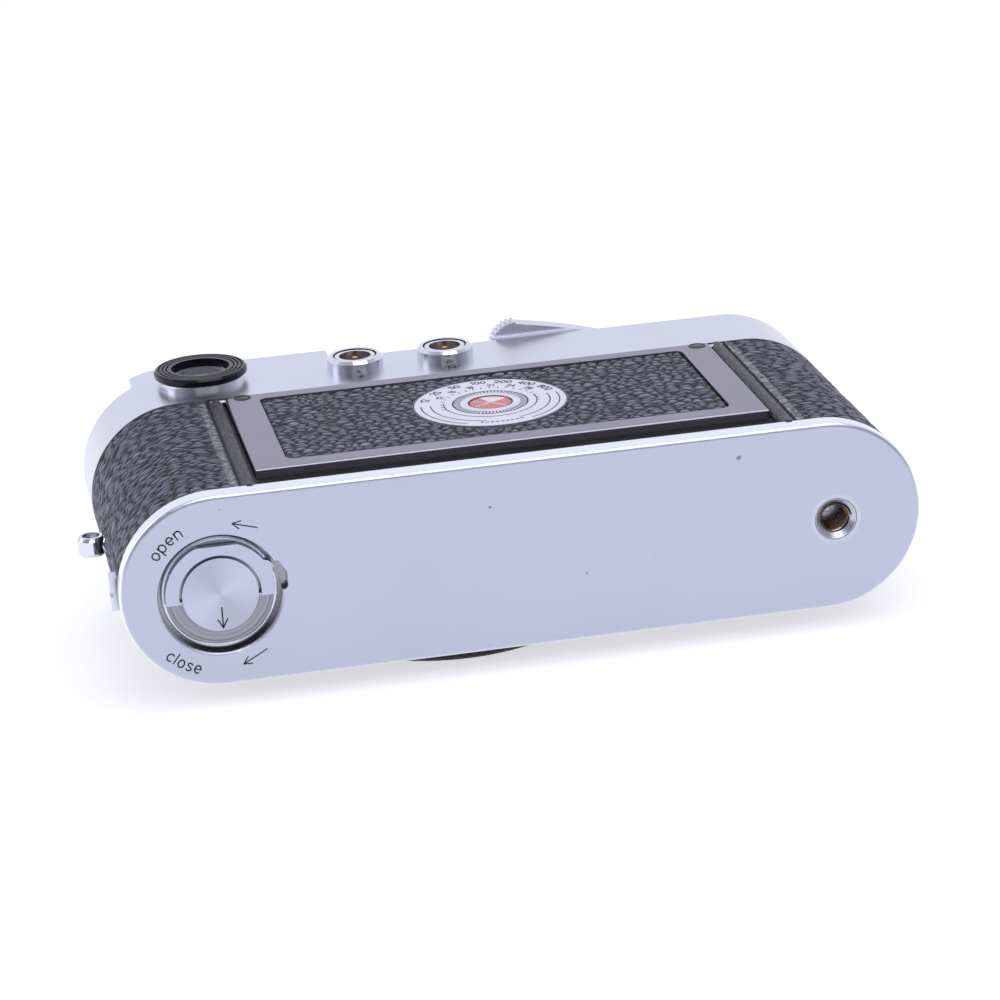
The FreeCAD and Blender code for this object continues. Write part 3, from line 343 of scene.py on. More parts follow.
def turned_face(name, color, dark, centre):
    """The tripod bush's face: fine turned rings, with a deeper groove at each millimetre."""
    n = Nodes(name)
    n.set(Metallic=1.0)
    offset = n.offset(centre)
    rings = n.rings(n.length(offset), 5.0, 4.0)
    shade = n.ramp(rings, (0.36, tint(color, 0.80)), (0.60, color))
    groove = n.add("TexWave", wave_type="RINGS", rings_direction="SPHERICAL", Scale=0.30)
    n.link(offset, groove.inputs["Vector"])
    n.color(n.mix(n.mask(groove.outputs["Fac"], 0.93, 0.98), shade, dark))
    n.rough(n.spread(n.noise(0.8), 0.24, 0.32))
    n.bump(rings, 0.006)
    return n.material


def plate_metal(name, color, rim, painted_shade):
    """Satin chrome: polished and with a painted highlight, paler, at its edges, side wall and the recess's lip;
    painted shade, darker, deep in the key's recess.
    """
    n = Nodes(name)
    n.set(Metallic=1.0)
    fine = n.noise(11, 2)
    shade = n.ramp(n.noise(0.03, 2), (0.3, tint(color, 0.985)), (0.7, tint(color, 1.015)))
    shade = n.mix(n.mask(n.noise(0.55, 1), 0.80, 0.82), shade, tint(color, 0.45))
    away = n.between(n.length(n.offset(key_spot)), KEY_RECESS, KEY_RECESS + 0.2)
    depth = n.place()["Y"]
    deep = n.between(depth, at(0, 0.35, 0).y, at(0, 0.9, 0).y)
    # painted highlight: from 0.05 mm in from the face the colour turns to the pale rim colour
    edge = n.between(depth, at(0, 0.05, 0).y, at(0, 0.25, 0).y)
    # painted shade: deeper than 0.35 mm inside the key's recess the colour turns to the grey shade colour
    painted_shade_mask = n.calc("MULTIPLY", deep, n.calc("SUBTRACT", 1.0, away))
    n.color(n.mix(painted_shade_mask, n.mix(edge, shade, rim), painted_shade))
    n.rough(n.calc("MULTIPLY_ADD", edge, -0.24, n.spread(fine, 0.38, 0.47)))
    n.bump(fine, 0.006)
    return n.material


def leather(name, crease, painted_pebble_highlight):
    """Leatherette: painted shade, near black, in its creases and turned-in edges, a painted highlight, paler,
    on its pebbles' tops, worn where it meets the door posts.
    """
    n = Nodes(name)
    grain = n.add("Attribute", attribute_name="grain")
    parts = n.add("SeparateColor")
    n.link(grain.outputs["Color"], parts.inputs["Color"])
    fine = n.noise(5.5, 4)
    # painted shade and highlight: the colour follows the grain's height, near black in the creases and pale on
    # the tops
    shade = n.ramp(parts.outputs["Red"], (0.32, crease), (0.72, tint(painted_pebble_highlight, 0.24)), (0.97, painted_pebble_highlight))
    flecks = n.ramp(n.noise(1.1, 5, roughness=0.7), (0.45, (0.02, 0.02, 0.03)), (0.62, (0.30, 0.30, 0.34)))
    n.color(n.mix(parts.outputs["Green"], shade, flecks))
    n.rough(n.spread(fine, 0.24, 0.38))
    n.bump(fine, 0.03)
    n.set(IOR=1.54, Specular_Tint=(0.86, 0.88, 1.0, 1))
    return n.material


def enamel(name, color, chip, amount, roughness=0.16, ior=1.6):
    """Glossy stove enamel over metal with a few chips and fine scratches."""
    n = Nodes(name)
    chips = n.mask(n.noise(0.75, 8, roughness=0.7), amount, amount + 0.015)
    scratches = n.mask(n.noise(1.6, 2, (0.12, 2.5, 1)), 0.70, 0.74)
    shade = n.ramp(n.noise(0.05, 3), (0.3, tint(color, 0.85)), (0.7, tint(color, 1.15)))
    n.color(n.mix(chips, n.mix(scratches, shade, tint(color, 1.5)), chip))
    n.rough(n.spread(n.noise(0.4, 4), roughness * 0.7, roughness * 1.5))
    n.bump(n.noise(0.6, 3), 0.012)
    n.set(IOR=ior, Specular_Tint=(0.90, 0.88, 1.0, 1))
    return n.material


def casting(name):
    """The shell's black stove paint: rubbed rough and grey on the door posts, glossy black lower down, where
    the near black is partly the unworn paint and partly painted shade.
    """
    n = Nodes(name)
    grain = n.noise(1.7, 5, roughness=0.65)
    worn = n.ramp(grain, (0.42, (0.010, 0.009, 0.014)), (0.56, (0.045, 0.044, 0.056)),
                  (0.72, (0.17, 0.165, 0.20)))
    deep = n.ramp(n.noise(0.8, 3), (0.4, (0.003, 0.003, 0.004)), (0.7, (0.008, 0.008, 0.010)))
    # painted shade: surfaces deeper than 15.65 mm out of the back, in the channel below the door, get the
    # near-black colour
    level = n.between(n.place()["Z"], at(0, 0, 15.65).z, at(0, 0, 15.95).z)
    n.color(n.mix(level, deep, worn))
    n.rough(n.spread(grain, 0.18, 0.42))
    n.bump(grain, 0.20)
    n.set(IOR=1.36)
    return n.material


def paint(name, color, roughness, bump=0.01, scale=4.0):
    """Matt or satin paint or moulded plastic with an orange-peel tooth."""
    n = Nodes(name)
    grain = n.noise(scale, 3)
    n.color(n.ramp(n.noise(0.2, 3), (0.3, tint(color, 0.8)), (0.7, tint(color, 1.25))))
    n.rough(n.spread(grain, roughness * 0.8, roughness * 1.2))
    n.bump(grain, bump)
    return n.material


def glass(name, color, roughness, clear):
    n = Nodes(name)
    n.color(n.ramp(n.noise(0.3), (0.3, tint(color, 0.92)), (0.7, color)))
    n.rough(n.spread(n.noise(1.0), roughness, roughness + 0.03))
    n.set(Transmission_Weight=clear, IOR=1.5, Coat_Weight=0.3)
    return n.material


def cloth(name, color):
    n = Nodes(name)
    weave = n.noise(14, 1, (1, 0.3, 1))
    n.color(n.ramp(weave, (0.3, tint(color, 0.6)), (0.7, tint(color, 1.4))))
    n.rough(n.spread(weave, 0.7, 0.9))
    n.bump(weave, 0.03)
    return n.material


def floor_material():
    n = Nodes("white_paper")
    n.color(n.ramp(n.noise(0.002), (0.0, (0.50, 0.50, 0.51)), (1.0, (0.52, 0.52, 0.53))))
    n.set(Roughness=0.9, Specular_IOR_Level=0.0)
    n.set(Emission_Color=(0.99, 0.99, 1.02, 1), Emission_Strength=0.645)
    return n.material


PLATE = (0.55, 0.57, 0.70)
SATIN = (0.69, 0.70, 0.775)
CHROME = (0.72, 0.725, 0.79)
KEY_STEP = 6.5                                          # radius of the key disc's raised middle
KEY_RECESS = 11.6                                       # radius that holds the key's recess and its lip
key_spot = middle("base_key_disc")

MATERIALS = {
    "satin_chrome": metal("satin_chrome", SATIN, 0.28, 11, bump=0.006, vary=0.012),
    # the pale colour is a painted highlight on the plate's edges, the grey one painted shade deep in the key's
    # recess
    "plate_chrome": plate_metal("plate_chrome", PLATE, (0.88, 0.89, 0.96), (0.30, 0.30, 0.34)),
    "handle_chrome": metal("handle_chrome", PLATE, 0.42, 11, bump=0.006, vary=0.012),
    "polished_chrome": metal("polished_chrome", CHROME, 0.13, 6, bump=0.004, vary=0.02),
    # the first colour is painted shade in the creases, the second a painted highlight on the pebbles' tops
    "leatherette": leather("leatherette", (0.0005, 0.0005, 0.0015), (0.145, 0.145, 0.21)),
    "black_casting": casting("black_casting"),
    "door_enamel": enamel("door_enamel", (0.065, 0.057, 0.082), (0.34, 0.34, 0.38), 0.70, 0.10, 3.5),
    "black_enamel": enamel("black_enamel", (0.004, 0.0035, 0.008), (0.20, 0.20, 0.23), 0.78, 0.12, 1.38),
    "dial_alloy": metal("dial_alloy", (0.78, 0.79, 0.86), 0.34, 8, bump=0.005, vary=0.015),
    "red_disc": enamel("red_disc", (0.60, 0.11, 0.12), (0.85, 0.80, 0.80), 0.8),
    "clear_glass": glass("clear_glass", (0.80, 0.84, 0.92), 0.02, 0.85),
    "frosted_glass": glass("frosted_glass", (0.85, 0.88, 0.92), 0.35, 0.4),
    "brass": metal("brass", (0.62, 0.44, 0.20), 0.28, 5),
    "steel": metal("steel", (0.48, 0.48, 0.52), 0.30, 6),
    "alloy": metal("alloy", (0.40, 0.40, 0.43), 0.45, 4, bump=0.02),
    "curtain_cloth": cloth("curtain_cloth", (0.012, 0.012, 0.012)),
    "insulator": paint("insulator", (0.09, 0.05, 0.03), 0.3),
    "cap_plastic": paint("cap_plastic", (0.016, 0.016, 0.019), 0.42, 0.03, 5.0),
    "counter_scale": paint("counter_scale", (0.75, 0.74, 0.70), 0.4),
    "ink": paint("ink", (0.012, 0.012, 0.016), 0.5, scale=8.0),
    "pale_ink": paint("pale_ink", (0.78, 0.76, 0.78), 0.35, scale=8.0),
    "key_face": brushed_disc("key_face", (0.50, 0.515, 0.63), 0.30, key_spot),
    "bush_face": turned_face("bush_face", (0.60, 0.615, 0.72), (0.16, 0.16, 0.20), middle("tripod_bush")),
    "threads": metal("threads", (0.42, 0.33, 0.26), 0.25, 4),
}
FACED = {"base_key_disc": "key_face", "tripod_bush": "bush_face", "base_plate": "plate_chrome",
         "base_key_handle": "handle_chrome"}


def dress_frame():
    """Gives each CAD node the material of its slot in the record, or a finish made for that node."""
    for entry in frame["record"]["subparts"]:
        name = entry["node"]
        node = nodes[name]
        node.data.materials.clear()
        node.data.materials.append(MATERIALS[FACED.get(name, entry["material_slot"])])


# ---------------------------------------------------------------- building pieces
def new_piece(name, points, faces, material, body, smooth=False):
    """A mesh piece from points in the camera's own axes, in millimetres, riding on a body."""
    mesh = bpy.data.meshes.new(name)
    spots = np.asarray(points, float) * MM + np.array(ORIGIN)
    mesh.from_pydata(spots.tolist(), [], [tuple(int(i) for i in face) for face in faces])
    mesh.materials.append(MATERIALS[material])
    mesh.polygons.foreach_set("use_smooth", [smooth] * len(mesh.polygons))
    mesh.update()
    item = bpy.data.objects.new(name, mesh)
    bpy.context.scene.collection.objects.link(item)
    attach(item, body)
    return item


# ---------------------------------------------------------------- leather grain
GRAIN_STEP = 0.23                                       # spacing of the sheets' points
GRAIN_DEPTH = 0.65                                      # from the pebbles' tops down to the creases
EDGE_TURN = 0.45                                        # how far a sheet's edges turn in
CLEAR = 0.1                                             # gap round what stands through the leather
COVER_RADIUS = ROUND - 0.05
LEFT_SEAM, RIGHT_SEAM = 47.25, 48.9                     # how far out the leather starts and ends

# distances round the camera, from the left door post by way of the front
START = REACH - LEFT_SEAM
ARC = math.pi * COVER_RADIUS
FLAT = 2 * REACH
TOTAL = START + ARC + FLAT + ARC + (REACH - RIGHT_SEAM)


def smooth_noise(u, v, size, seed):
    """Value noise between 0 and 1 over a plane, with features of about this size."""
    rng = np.random.default_rng(seed)
    table = rng.random((64, 64))
    a, b = u / size, v / size
    i, j = np.floor(a).astype(int), np.floor(b).astype(int)
    fa, fb = a - i, b - j
    fa, fb = fa * fa * (3 - 2 * fa), fb * fb * (3 - 2 * fb)
    low = table[i % 64, j % 64] * (1 - fa) + table[(i + 1) % 64, j % 64] * fa
    high = table[i % 64, (j + 1) % 64] * (1 - fa) + table[(i + 1) % 64, (j + 1) % 64] * fa
    return low * (1 - fb) + high * fb


def pebbles(u, v, length, height, seed):
    """Leather grain between 0 in the creases and 1 on the pebbles, which are longer along u."""
    bend = smooth_noise(u, v, 3.1, seed + 1) - 0.5
    a = (u + 1.6 * (smooth_noise(u, v, 4.0, seed + 2) - 0.5)) / length
    b = (v + 1.5 * bend) / height
    rng = np.random.default_rng(seed)
    jitter = rng.random((128, 128, 2)) * 0.9 + 0.05
    i, j = np.floor(a).astype(int), np.floor(b).astype(int)
    first = np.full(u.shape, 9.0)
    second = np.full(u.shape, 9.0)
    for di in (-1, 0, 1):
        for dj in (-1, 0, 1):
            spot = jitter[(i + di) % 128, (j + dj) % 128]
            gap = np.hypot(i + di + spot[..., 0] - a, j + dj + spot[..., 1] - b)
            second = np.minimum(second, np.maximum(first, gap))
            first = np.minimum(first, gap)
    crease = np.clip((second - first) / 0.42, 0, 1)
    dome = np.clip(1 - first * first / 0.7, 0, 1)
    return np.sqrt(crease) * (0.55 + 0.45 * dome)


def push_out_of_circle(x, y, inside_too, centre, radius):
    """Moves the points inside a circle onto its edge; returns which were inside."""
    dx, dy = x - centre[0], y - centre[1]
    gap = np.maximum(np.hypot(dx, dy), 1e-6)
    inside = gap < radius
    x[inside] = centre[0] + dx[inside] / gap[inside] * radius
    y[inside] = centre[1] + dy[inside] / gap[inside] * radius
    return inside_too | inside


def push_out_of_box(x, y, inside_too, low, high):
    """Moves the points inside a rectangle onto its nearest side; returns which were inside."""
    inside = (x > low[0]) & (x < high[0]) & (y > low[1]) & (y < high[1])
    for k in np.argwhere(inside):
        k = tuple(k)
        ways = (x[k] - low[0], high[0] - x[k], y[k] - low[1], high[1] - y[k])
        side = ways.index(min(ways))
        if side < 2:
            x[k] = (low[0], high[0])[side]
        else:
            y[k] = (low[1], high[1])[side - 2]
    return inside_too | inside


def grid(across, up):
    """Rows and columns of points that fill a rectangle."""
    sides = (np.linspace(low, high, int((high - low) / GRAIN_STEP)) for low, high in (across, up))
    return np.meshgrid(*sides, indexing="ij")


def grain_sheet(name, u, v, shape, height, wear, gone, inward, body, node):
    """A displaced leather sheet over a grid, with turned-in edges, standing for one CAD node."""
    points = shape(u, v, height)
    rows, columns = u.shape
    index = np.arange(rows * columns).reshape(rows, columns)
    quads = np.stack([index[:-1, :-1], index[1:, :-1], index[1:, 1:], index[:-1, 1:]], -1).reshape(-1, 4)
    quads = quads[~gone.reshape(-1)[quads].all(1)]
    used = np.unique(quads)
    renumber = np.full(rows * columns, -1)
    renumber[used] = np.arange(len(used))
    sheet = new_piece(name, points.reshape(-1, 3)[used], renumber[quads], "leatherette", body,
                      True)
    tops = height.reshape(-1)[used]
    worn = wear.reshape(-1)[used]
    mesh = bmesh.new()
    mesh.from_mesh(sheet.data)
    # the grain layer holds the height, which sets the leather's painted shade and highlight, and the wear; the
    # turned-in edges get 0, which paints them in shade
    layer = mesh.verts.layers.float_color.new("grain")
    for vert in mesh.verts:
        vert[layer] = (tops[vert.index], worn[vert.index], 0, 1)
    edges = [edge for edge in mesh.edges if edge.is_boundary]
    for element in bmesh.ops.extrude_edge_only(mesh, edges=edges)["geom"]:
        if isinstance(element, bmesh.types.BMVert):
            element.co += Vector(inward(own(element.co))) * MM
            element[layer] = (0, 0, 0, 1)
    bmesh.ops.recalc_face_normals(mesh, faces=mesh.faces)
    mesh.to_mesh(sheet.data)
    mesh.free()
    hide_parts(node)


def covering_spot(u):
    """Where a distance round the camera lies: its x along the body, and its outward angle."""
    turn_left = np.clip((u - START) / COVER_RADIUS, 0, math.pi)
    turn_right = np.clip((u - START - ARC - FLAT) / COVER_RADIUS, 0, math.pi)
    along = np.where(u < START, -LEFT_SEAM - u, -REACH)
    on_front = np.clip(u - START - ARC, 0, FLAT)
    along = np.where(u >= START + ARC, -REACH + on_front, along)
    past = u - START - 2 * ARC - FLAT
    along = np.where(past > 0, REACH - past, along)
    return along, math.pi / 2 + turn_left + turn_right


def covering_holes(u, v):
    """Clears the lens mount, the levers' hubs, the strap lugs and the end stud."""
    gone = np.zeros(u.shape, bool)
    front = START + ARC + REACH
    round_holes = ((middle("lens_flange"), 25.6), (middle("lens_release_guard"), 4.4),
                   (pivot("self_timer_turn"), 3.9), (pivot("frame_selector_turn"), 2.8),
                   (pivot("rewind_release_turn"), 2.8))
    for spot, radius in round_holes:
        gone = push_out_of_circle(u, v, gone, (front + spot.x, spot.y), radius)
    left_end, right_end = START + ARC / 2, START + ARC + FLAT + ARC / 2
    low, high = bottom_of("strap_lugs"), top_of("strap_lugs")
    for end in (left_end, right_end):
        gone = push_out_of_box(u, v, gone, (end + low.z - CLEAR, low.y - CLEAR),
                               (end + high.z + CLEAR, high.y + CLEAR))
    low, high = bottom_of("end_stud"), top_of("end_stud")
    return push_out_of_box(u, v, gone, (left_end - high.z - 1.5 * CLEAR, low.y - CLEAR),
                           (left_end - low.z + CLEAR, high.y + CLEAR))


def body_leather():
    low, high = bottom_of("body_covering").y, top_of("body_covering").y
    u, v = grid((0, TOTAL), (low, high))
    gone = covering_holes(u, v)
    edge = np.minimum(u, TOTAL - u)
    seam = np.clip((1.5 - edge) / 0.2, 0, 1)
    rim = np.clip(np.minimum(v - low, high - v) / 0.5, 0, 1)
    height = pebbles(u, v, 2.7, 1.0, 11) * (0.55 + 0.45 * rim)
    height = height * (1 - seam) + seam * (0.35 + 0.3 * smooth_noise(u, v, 0.7, 5))

    def shape(u, v, height):
        along, angle = covering_spot(u)
        radius = COVER_RADIUS + GRAIN_DEPTH * (height - 1)
        at_ends = np.abs(along) >= REACH - 1e-6
        return np.stack([along + radius * np.cos(angle) * at_ends, v, radius * np.sin(angle)], -1)

    def inward(point):
        across = max(abs(point.x) - REACH, 0.0) * (1 if point.x > 0 else -1)
        return -Vector((across, 0, point.z)).normalized() * EDGE_TURN

    grain_sheet("body_leather", u, v, shape, height, seam, gone, inward, "camera", "body_covering")


def door_leather():
    low, high = bottom_of("door_leather"), top_of("door_leather")
    dial = middle("film_dial_plate")
    dial_hole, corner = 13.76, 1.35
    u, v = grid((low.x, high.x), (low.y, high.y))
    gone = push_out_of_circle(u, v, np.zeros(u.shape, bool), (dial.x, dial.y), dial_hole)
    for sx, ex in ((1, low.x), (-1, high.x)):
        for sy, ey in ((1, low.y), (-1, high.y)):
            cx, cy = ex + sx * corner, ey + sy * corner
            beyond = ((cx - u) * sx > 0) & ((cy - v) * sy > 0)
            gap = np.maximum(np.hypot(u - cx, v - cy), 1e-6)
            far = beyond & (gap > corner)
            u[far] = cx + (u[far] - cx) / gap[far] * corner
            v[far] = cy + (v[far] - cy) / gap[far] * corner
    rim = np.clip(np.minimum.reduce([u - low.x, high.x - u, v - low.y, high.y - v]) / 0.6, 0, 1)
    height = pebbles(u + 400, v, 2.0, 1.35, 23) * (0.5 + 0.5 * rim)

    def shape(u, v, height):
        return np.stack([u, v, high.z + GRAIN_DEPTH * (height - 1)], -1)

    grain_sheet("panel_leather", u, v, shape, height, np.zeros(u.shape), gone,
                lambda point: (0, 0, -0.5), "back_door", "door_leather")


# ---------------------------------------------------------------- engraving
INK_LIFT = 0.012                                        # how far a mark stands off its face


def arc_points(across, up, wide, tall, start, end, steps=18):
    """Points along an ellipse round (across, up), between two angles in degrees."""
    turns = [math.radians(start + (end - start) * k / steps) for k in range(steps + 1)]
    return [(across + wide * math.cos(t), up + tall * math.sin(t)) for t in turns]


# strokes of each letter, where 1 is the height of a small letter, and the letter's width
GLYPHS = {
    "o": ([arc_points(0.4, 0.5, 0.4, 0.5, 0, 360)], 0.8),
    "p": ([[(0, -0.45), (0, 1)], arc_points(0.4, 0.5, 0.4, 0.5, 0, 360)], 0.8),
    "e": ([[(0.02, 0.5), (0.8, 0.5)], arc_points(0.4, 0.5, 0.4, 0.5, 0, 305)], 0.8),
    "n": ([[(0, 0), (0, 1)], arc_points(0.37, 0.6, 0.37, 0.4, 180, 0) + [(0.74, 0)]], 0.75),
    "c": ([arc_points(0.42, 0.5, 0.42, 0.5, 50, 310)], 0.72),
    "l": ([[(0.05, 0), (0.05, 1.5)]], 0.12),
    "s": ([[(0.66, 0.85), (0.5, 0.98), (0.2, 1.0), (0.04, 0.8), (0.14, 0.6), (0.54, 0.44), (0.68, 0.22),
            (0.5, 0.02), (0.18, 0), (0, 0.14)]], 0.68),
    "0": ([arc_points(0.4, 0.72, 0.4, 0.72, 0, 360)], 0.8),
    "1": ([[(0.05, 1.1), (0.35, 1.45), (0.35, 0)]], 0.4),
    "2": ([arc_points(0.4, 1.05, 0.4, 0.4, 170, -35) + [(0, 0), (0.8, 0)]], 0.8),
    "3": ([[(0.05, 1.45), (0.75, 1.45), (0.38, 0.86)] + arc_points(0.38, 0.43, 0.4, 0.43, 80, -150)], 0.8),
    "4": ([[(0.6, 0), (0.6, 1.45), (0, 0.42), (0.82, 0.42)]], 0.82),
    "5": ([[(0.72, 1.45), (0.1, 1.45), (0.05, 0.78)] + arc_points(0.36, 0.45, 0.42, 0.45, 115, -150)], 0.8),
    "6": ([[(0.62, 1.45), (0.2, 0.9), (0.03, 0.5)], arc_points(0.4, 0.42, 0.39, 0.42, 0, 360)], 0.8),
    "8": ([arc_points(0.4, 0.38, 0.4, 0.38, 0, 360), arc_points(0.4, 1.1, 0.33, 0.35, 0, 360)], 0.8),
}


class Engraving:
    """Flat engraved lines, collected in a plane and then laid on the face of one body."""

    def __init__(self):
        self.points, self.faces = [], []

    def line(self, path, width):
        for (ax, ay), (bx, by) in zip(path, path[1:]):
            gap = math.hypot(bx - ax, by - ay) or 1e-6
            ex, ey = (bx - ax) / gap * width * 0.3, (by - ay) / gap * width * 0.3
            nx, ny = -(by - ay) / gap * width / 2, (bx - ax) / gap * width / 2
            start = len(self.points)
            self.points += [(ax - ex + nx, ay - ey + ny), (ax - ex - nx, ay - ey - ny),
                            (bx + ex - nx, by + ey - ny), (bx + ex + nx, by + ey + ny)]
            self.faces.append((start, start + 1, start + 2, start + 3))

    def fan(self, centre, radius, start, end, steps=18):
        rim = arc_points(*centre, radius, radius, start, end, steps)
        first = len(self.points)
        self.points += [tuple(centre)] + rim
        self.faces += [(first, first + k, first + k + 1) for k in range(1, len(rim))]

    def ring(self, centre, radius, start, end, width, steps=72):
        self.line(arc_points(*centre, radius, radius, start, end, steps), width)

    def spoke(self, centre, turn, inner, outer, width):
        way = math.radians(turn)
        self.line([(centre[0] + r * math.cos(way), centre[1] + r * math.sin(way)) for r in (inner, outer)],
                  width)

    def arrow(self, tail, head, barb, width):
        self.line([tail, head], width)
        back = math.atan2(tail[1] - head[1], tail[0] - head[0])
        for side in (-0.5, 0.5):
            tip = (head[0] + barb * math.cos(back + side), head[1] + barb * math.sin(back + side))
            self.line([head, tip], width)

    def text(self, words, size, width, centre, radius, angle, outward=True, gap=0.32):
        """Words round a circle, centred on an angle; the letters' tops point outward or inward."""
        total = sum(GLYPHS[letter][1] + gap for letter in words) * size - gap * size
        shift = -total / 2
        side = -1 if outward else 1
        for letter in words:
            for path in GLYPHS[letter][0]:
                curve = []
                for across, up in path:
                    turn = math.radians(angle) + side * (shift + across * size) / radius
                    reach = radius + (up * size if outward else -up * size)
                    curve.append((centre[0] + reach * math.cos(turn), centre[1] + reach * math.sin(turn)))
                self.line(curve, width)
            shift += (GLYPHS[letter][1] + gap) * size

    def lay(self, name, face, level, material, body):
        """Turns the plane's points into a piece on the bottom (-Y), back (+Z) or top (+Y) face."""
        to_space = {"bottom": lambda a, b: (a, level, b), "back": lambda a, b: (a, b, level),
                    "top": lambda a, b: (a, level, -b)}[face]
        new_piece(name, [to_space(*point) for point in self.points], self.faces, material, body)


def base_marks():
    key = key_spot
    centre = (key.x, key.z)
    key_face_y = 0.05
    marks = Engraving()
    marks.text("open", 1.35, 0.24, centre, 12.2, 130, gap=0.42)
    marks.text("close", 1.35, 0.24, centre, 14.3, 238, outward=False, gap=0.42)
    marks.arrow((-45.2, 10.4), (-49.3, 11.6), 1.5, 0.22)
    marks.arrow((-45.3, -11.2), (-49.4, -13.4), 1.5, 0.22)
    marks.lay("base_marks", "bottom", -INK_LIFT, "ink", "base_plate")
    pointer = Engraving()
    pointer.arrow((key.x, key.z - 2.3), (key.x, key.z - 5.9), 1.7, 0.26)
    pointer.lay("key_pointer", "bottom", key_face_y - INK_LIFT, "ink", "base_key")
    profile = [(9.15, 1.5), (9.2, 1.34), (9.55, 1.34), (9.75, 1.5)]
    turned("key_ring", centre, "Y", profile, "satin_chrome", "base_key", "polished_chrome", 72)


def dial_marks():
    spot = middle("film_dial_plate")
    centre = (spot.x, spot.y)
    face = top_of("film_dial_plate").z
    marks = Engraving()
    for k, number in enumerate(("12", "25", "50", "100", "200", "400", "800")):
        marks.text(number, 0.95, 0.24, centre, 11.2, 156 - 22 * k)
    for k, number in enumerate(("12", "15", "18", "21", "24", "28")):
        marks.text(number, 0.72, 0.20, centre, 9.3, 145 - 22 * k)
    for turn in range(-10, 191, 10):
        marks.spoke(centre, turn, 8.2, 8.8, 0.2)
    for radius, start, end in ((12.2, 172, 240), (10.5, 172, 255), (8.2, 168, 372), (12.2, 296, 368),
                               (10.5, 288, 368)):
        marks.ring(centre, radius, start, end, 0.2)
    marks.ring(centre, 13.5, 0, 360, 0.24)
    for k in range(9):
        way = math.radians(252 + 4.5 * k)
        dot = (centre[0] + 11.3 * math.cos(way), centre[1] + 11.3 * math.sin(way))
        marks.ring(dot, 0.22, 0, 360, 0.14, 8)
    marks.lay("dial_marks", "back", face + INK_LIFT, "ink", "back_door")
    knob_top = top_of("film_dial_knob").z
    emblem_depth = 0.1
    outline = Engraving()
    outline.ring(centre, 3.85, 0, 360, 0.24, 48)
    for turn in range(0, 360, 6):
        outline.spoke(centre, turn, 5.4, 6.35, 0.24)
    outline.lay("dial_outline", "back", knob_top + INK_LIFT, "ink", "film_dial_knob")
    profile = [(5.2, -0.02), (5.0, 0.16), (4.5, 0.2), (4.1, 0.1), (3.95, -0.02)]
    turned("dial_hub_ring", centre, "Z", [(radius, face + rise) for radius, rise in profile],
           "dial_alloy", "film_dial_knob", "dial_alloy", 64)
    emblem = Engraving()
    emblem.fan(centre, 3.5, 28, 112)
    for turn in (150, 205, 318):
        emblem.spoke(centre, turn, 0.3, 3.2, 0.3)
    emblem.lay("dial_emblem", "back", knob_top - emblem_depth + INK_LIFT, "pale_ink", "film_dial_knob")


def top_marks():
    spot = middle("shutter_speed_dial")
    speeds = Engraving()
    for k, number in enumerate(("1", "2", "4", "8", "15", "30", "60", "125", "250", "500", "1000")):
        speeds.text(number, 0.62, 0.13, (spot.x, -spot.z), 5.9, 90 - 32.7 * k, gap=0.25)
    speeds.ring((spot.x, -spot.z), 5.4, 0, 360, 0.10)
    speeds.lay("speed_marks", "top", top_of("shutter_speed_dial").y + INK_LIFT, "ink", "shutter_speed_dial")
    spot = middle("counter_disc")
    frames = Engraving()
    for k in range(12):
        frames.text(str(4 * k), 0.5, 0.11, (spot.x, -spot.z), 3.2, 90 - 30 * k, gap=0.25)
    frames.lay("frame_marks", "top", top_of("counter_disc").y + INK_LIFT, "ink", "counter_disc")


def socket_marks():
    """A flash under the left socket and a bulb under the right one."""
    marks = Engraving()
    left, right, level = -18.2, -1.5, 56.8
    flash = ((0.5, 1.1), (-0.5, 0.1), (0.4, 0), (-0.6, -1.2))
    marks.line([(left + across, level + up) for across, up in flash], 0.34)
    marks.ring((right, level), 0.62, 0, 360, 0.3, 20)
    for turn in range(0, 360, 60):
        marks.spoke((right, level), turn, 1.0, 1.5, 0.28)
    marks.lay("socket_marks", "back", top_of("top_cover").z + INK_LIFT, "ink", "camera")


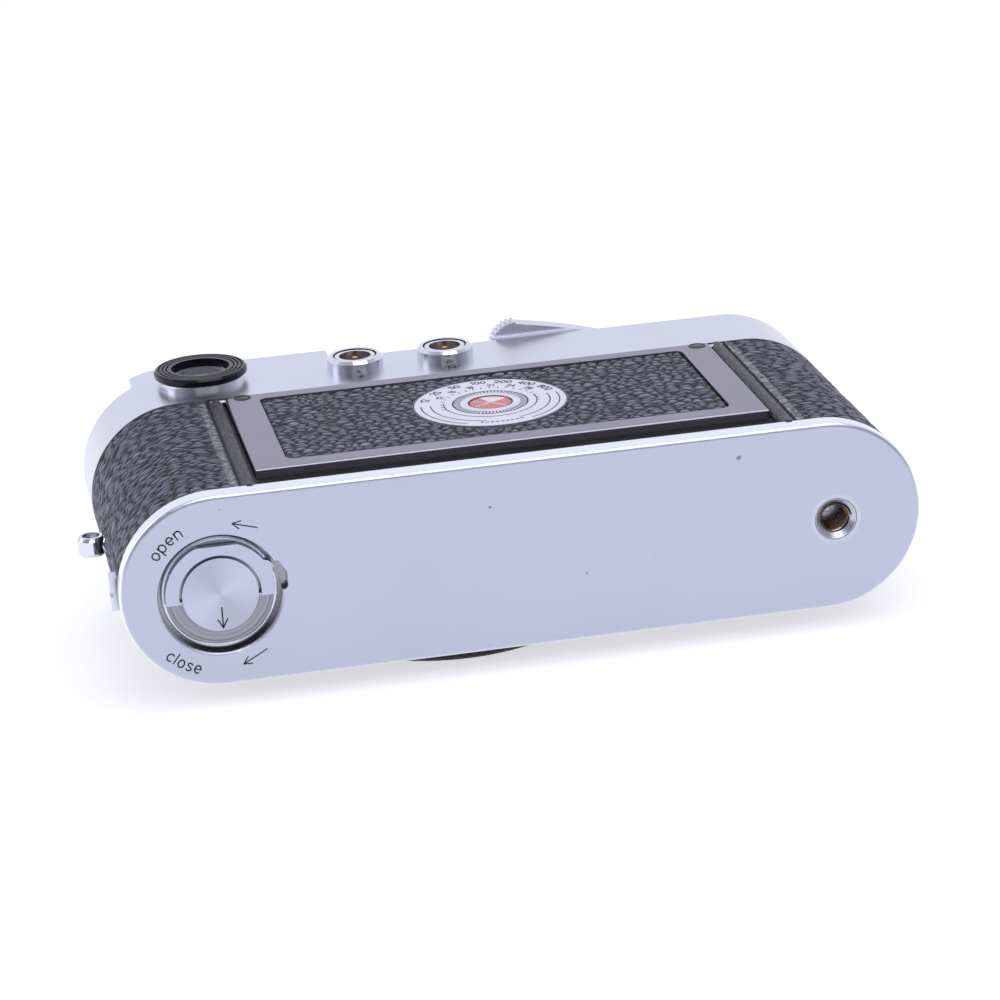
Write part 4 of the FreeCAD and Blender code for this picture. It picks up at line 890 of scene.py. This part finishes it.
# ---------------------------------------------------------------- small turned details
def turned(name, centre, axis, profile, material, body, slot, steps=48):
    """A ring or disc swept about an axis from (radius, level) points of its profile."""
    points, faces = [], []
    count = len(profile)
    for k in range(steps):
        way = 2 * math.pi * k / steps
        for radius, level in profile:
            a, b = radius * math.cos(way), radius * math.sin(way)
            points.append((centre[0] + a, centre[1] + b, level) if axis == "Z" else
                          (centre[0] + a, level, centre[1] + b))
    for k in range(steps):
        here, there = k * count, (k + 1) % steps * count
        for j in range(count - 1):
            quad = (here + j, there + j, there + j + 1, here + j + 1)
            faces.append(quad if axis == "Z" else quad[::-1])
    new_piece(name, points, faces, material, body, True)


def hinge_marks():
    """The ends of the door's two hinge studs, each a cap in a dark ring."""
    face = top_of("back_door").z
    ring = [(1.62, -0.02), (1.55, 0.07), (1.15, 0.07), (1.05, -0.02)]
    cap = [(1.05, 0.02), (0.8, 0.07), (0.3, 0.09), (0.0, 0.09)]
    for side, spot in (("left", (-40.7, 50.85)), ("right", (43.0, 50.9))):
        for part, profile, material in (("ring", ring, "ink"), ("cap", cap, "black_enamel")):
            turned(f"hinge_{part}_{side}", spot, "Z", [(radius, face + rise) for radius, rise in profile],
                   material, "back_door", "door_enamel")


def tripod_thread():
    """A quarter-inch thread's ridge, wound inside the bush."""
    bush = middle("tripod_bush")
    pitch, turns, steps, mouth = 1.27, 3.4, 40, 0.85
    root, crest = 2.6, 2.12
    points, faces = [], []
    count = int(turns * steps)
    for k in range(count + 1):
        way = 2 * math.pi * k / steps
        level = mouth + pitch * k / steps
        for radius, rise in ((root, -0.52), (crest, -0.08), (crest, 0.08), (root, 0.52)):
            points.append((bush.x + radius * math.cos(way), level + rise, bush.z + radius * math.sin(way)))
    for k in range(count):
        for j in range(3):
            faces.append((4 * k + j, 4 * k + j + 1, 4 * k + j + 5, 4 * k + j + 4))
    new_piece("tripod_thread", points, faces, "threads", "base_plate", True)


make_camera()
make_stage()
dress_frame()
body_leather()
door_leather()
base_marks()
dial_marks()
top_marks()
socket_marks()
hinge_marks()
tripod_thread()
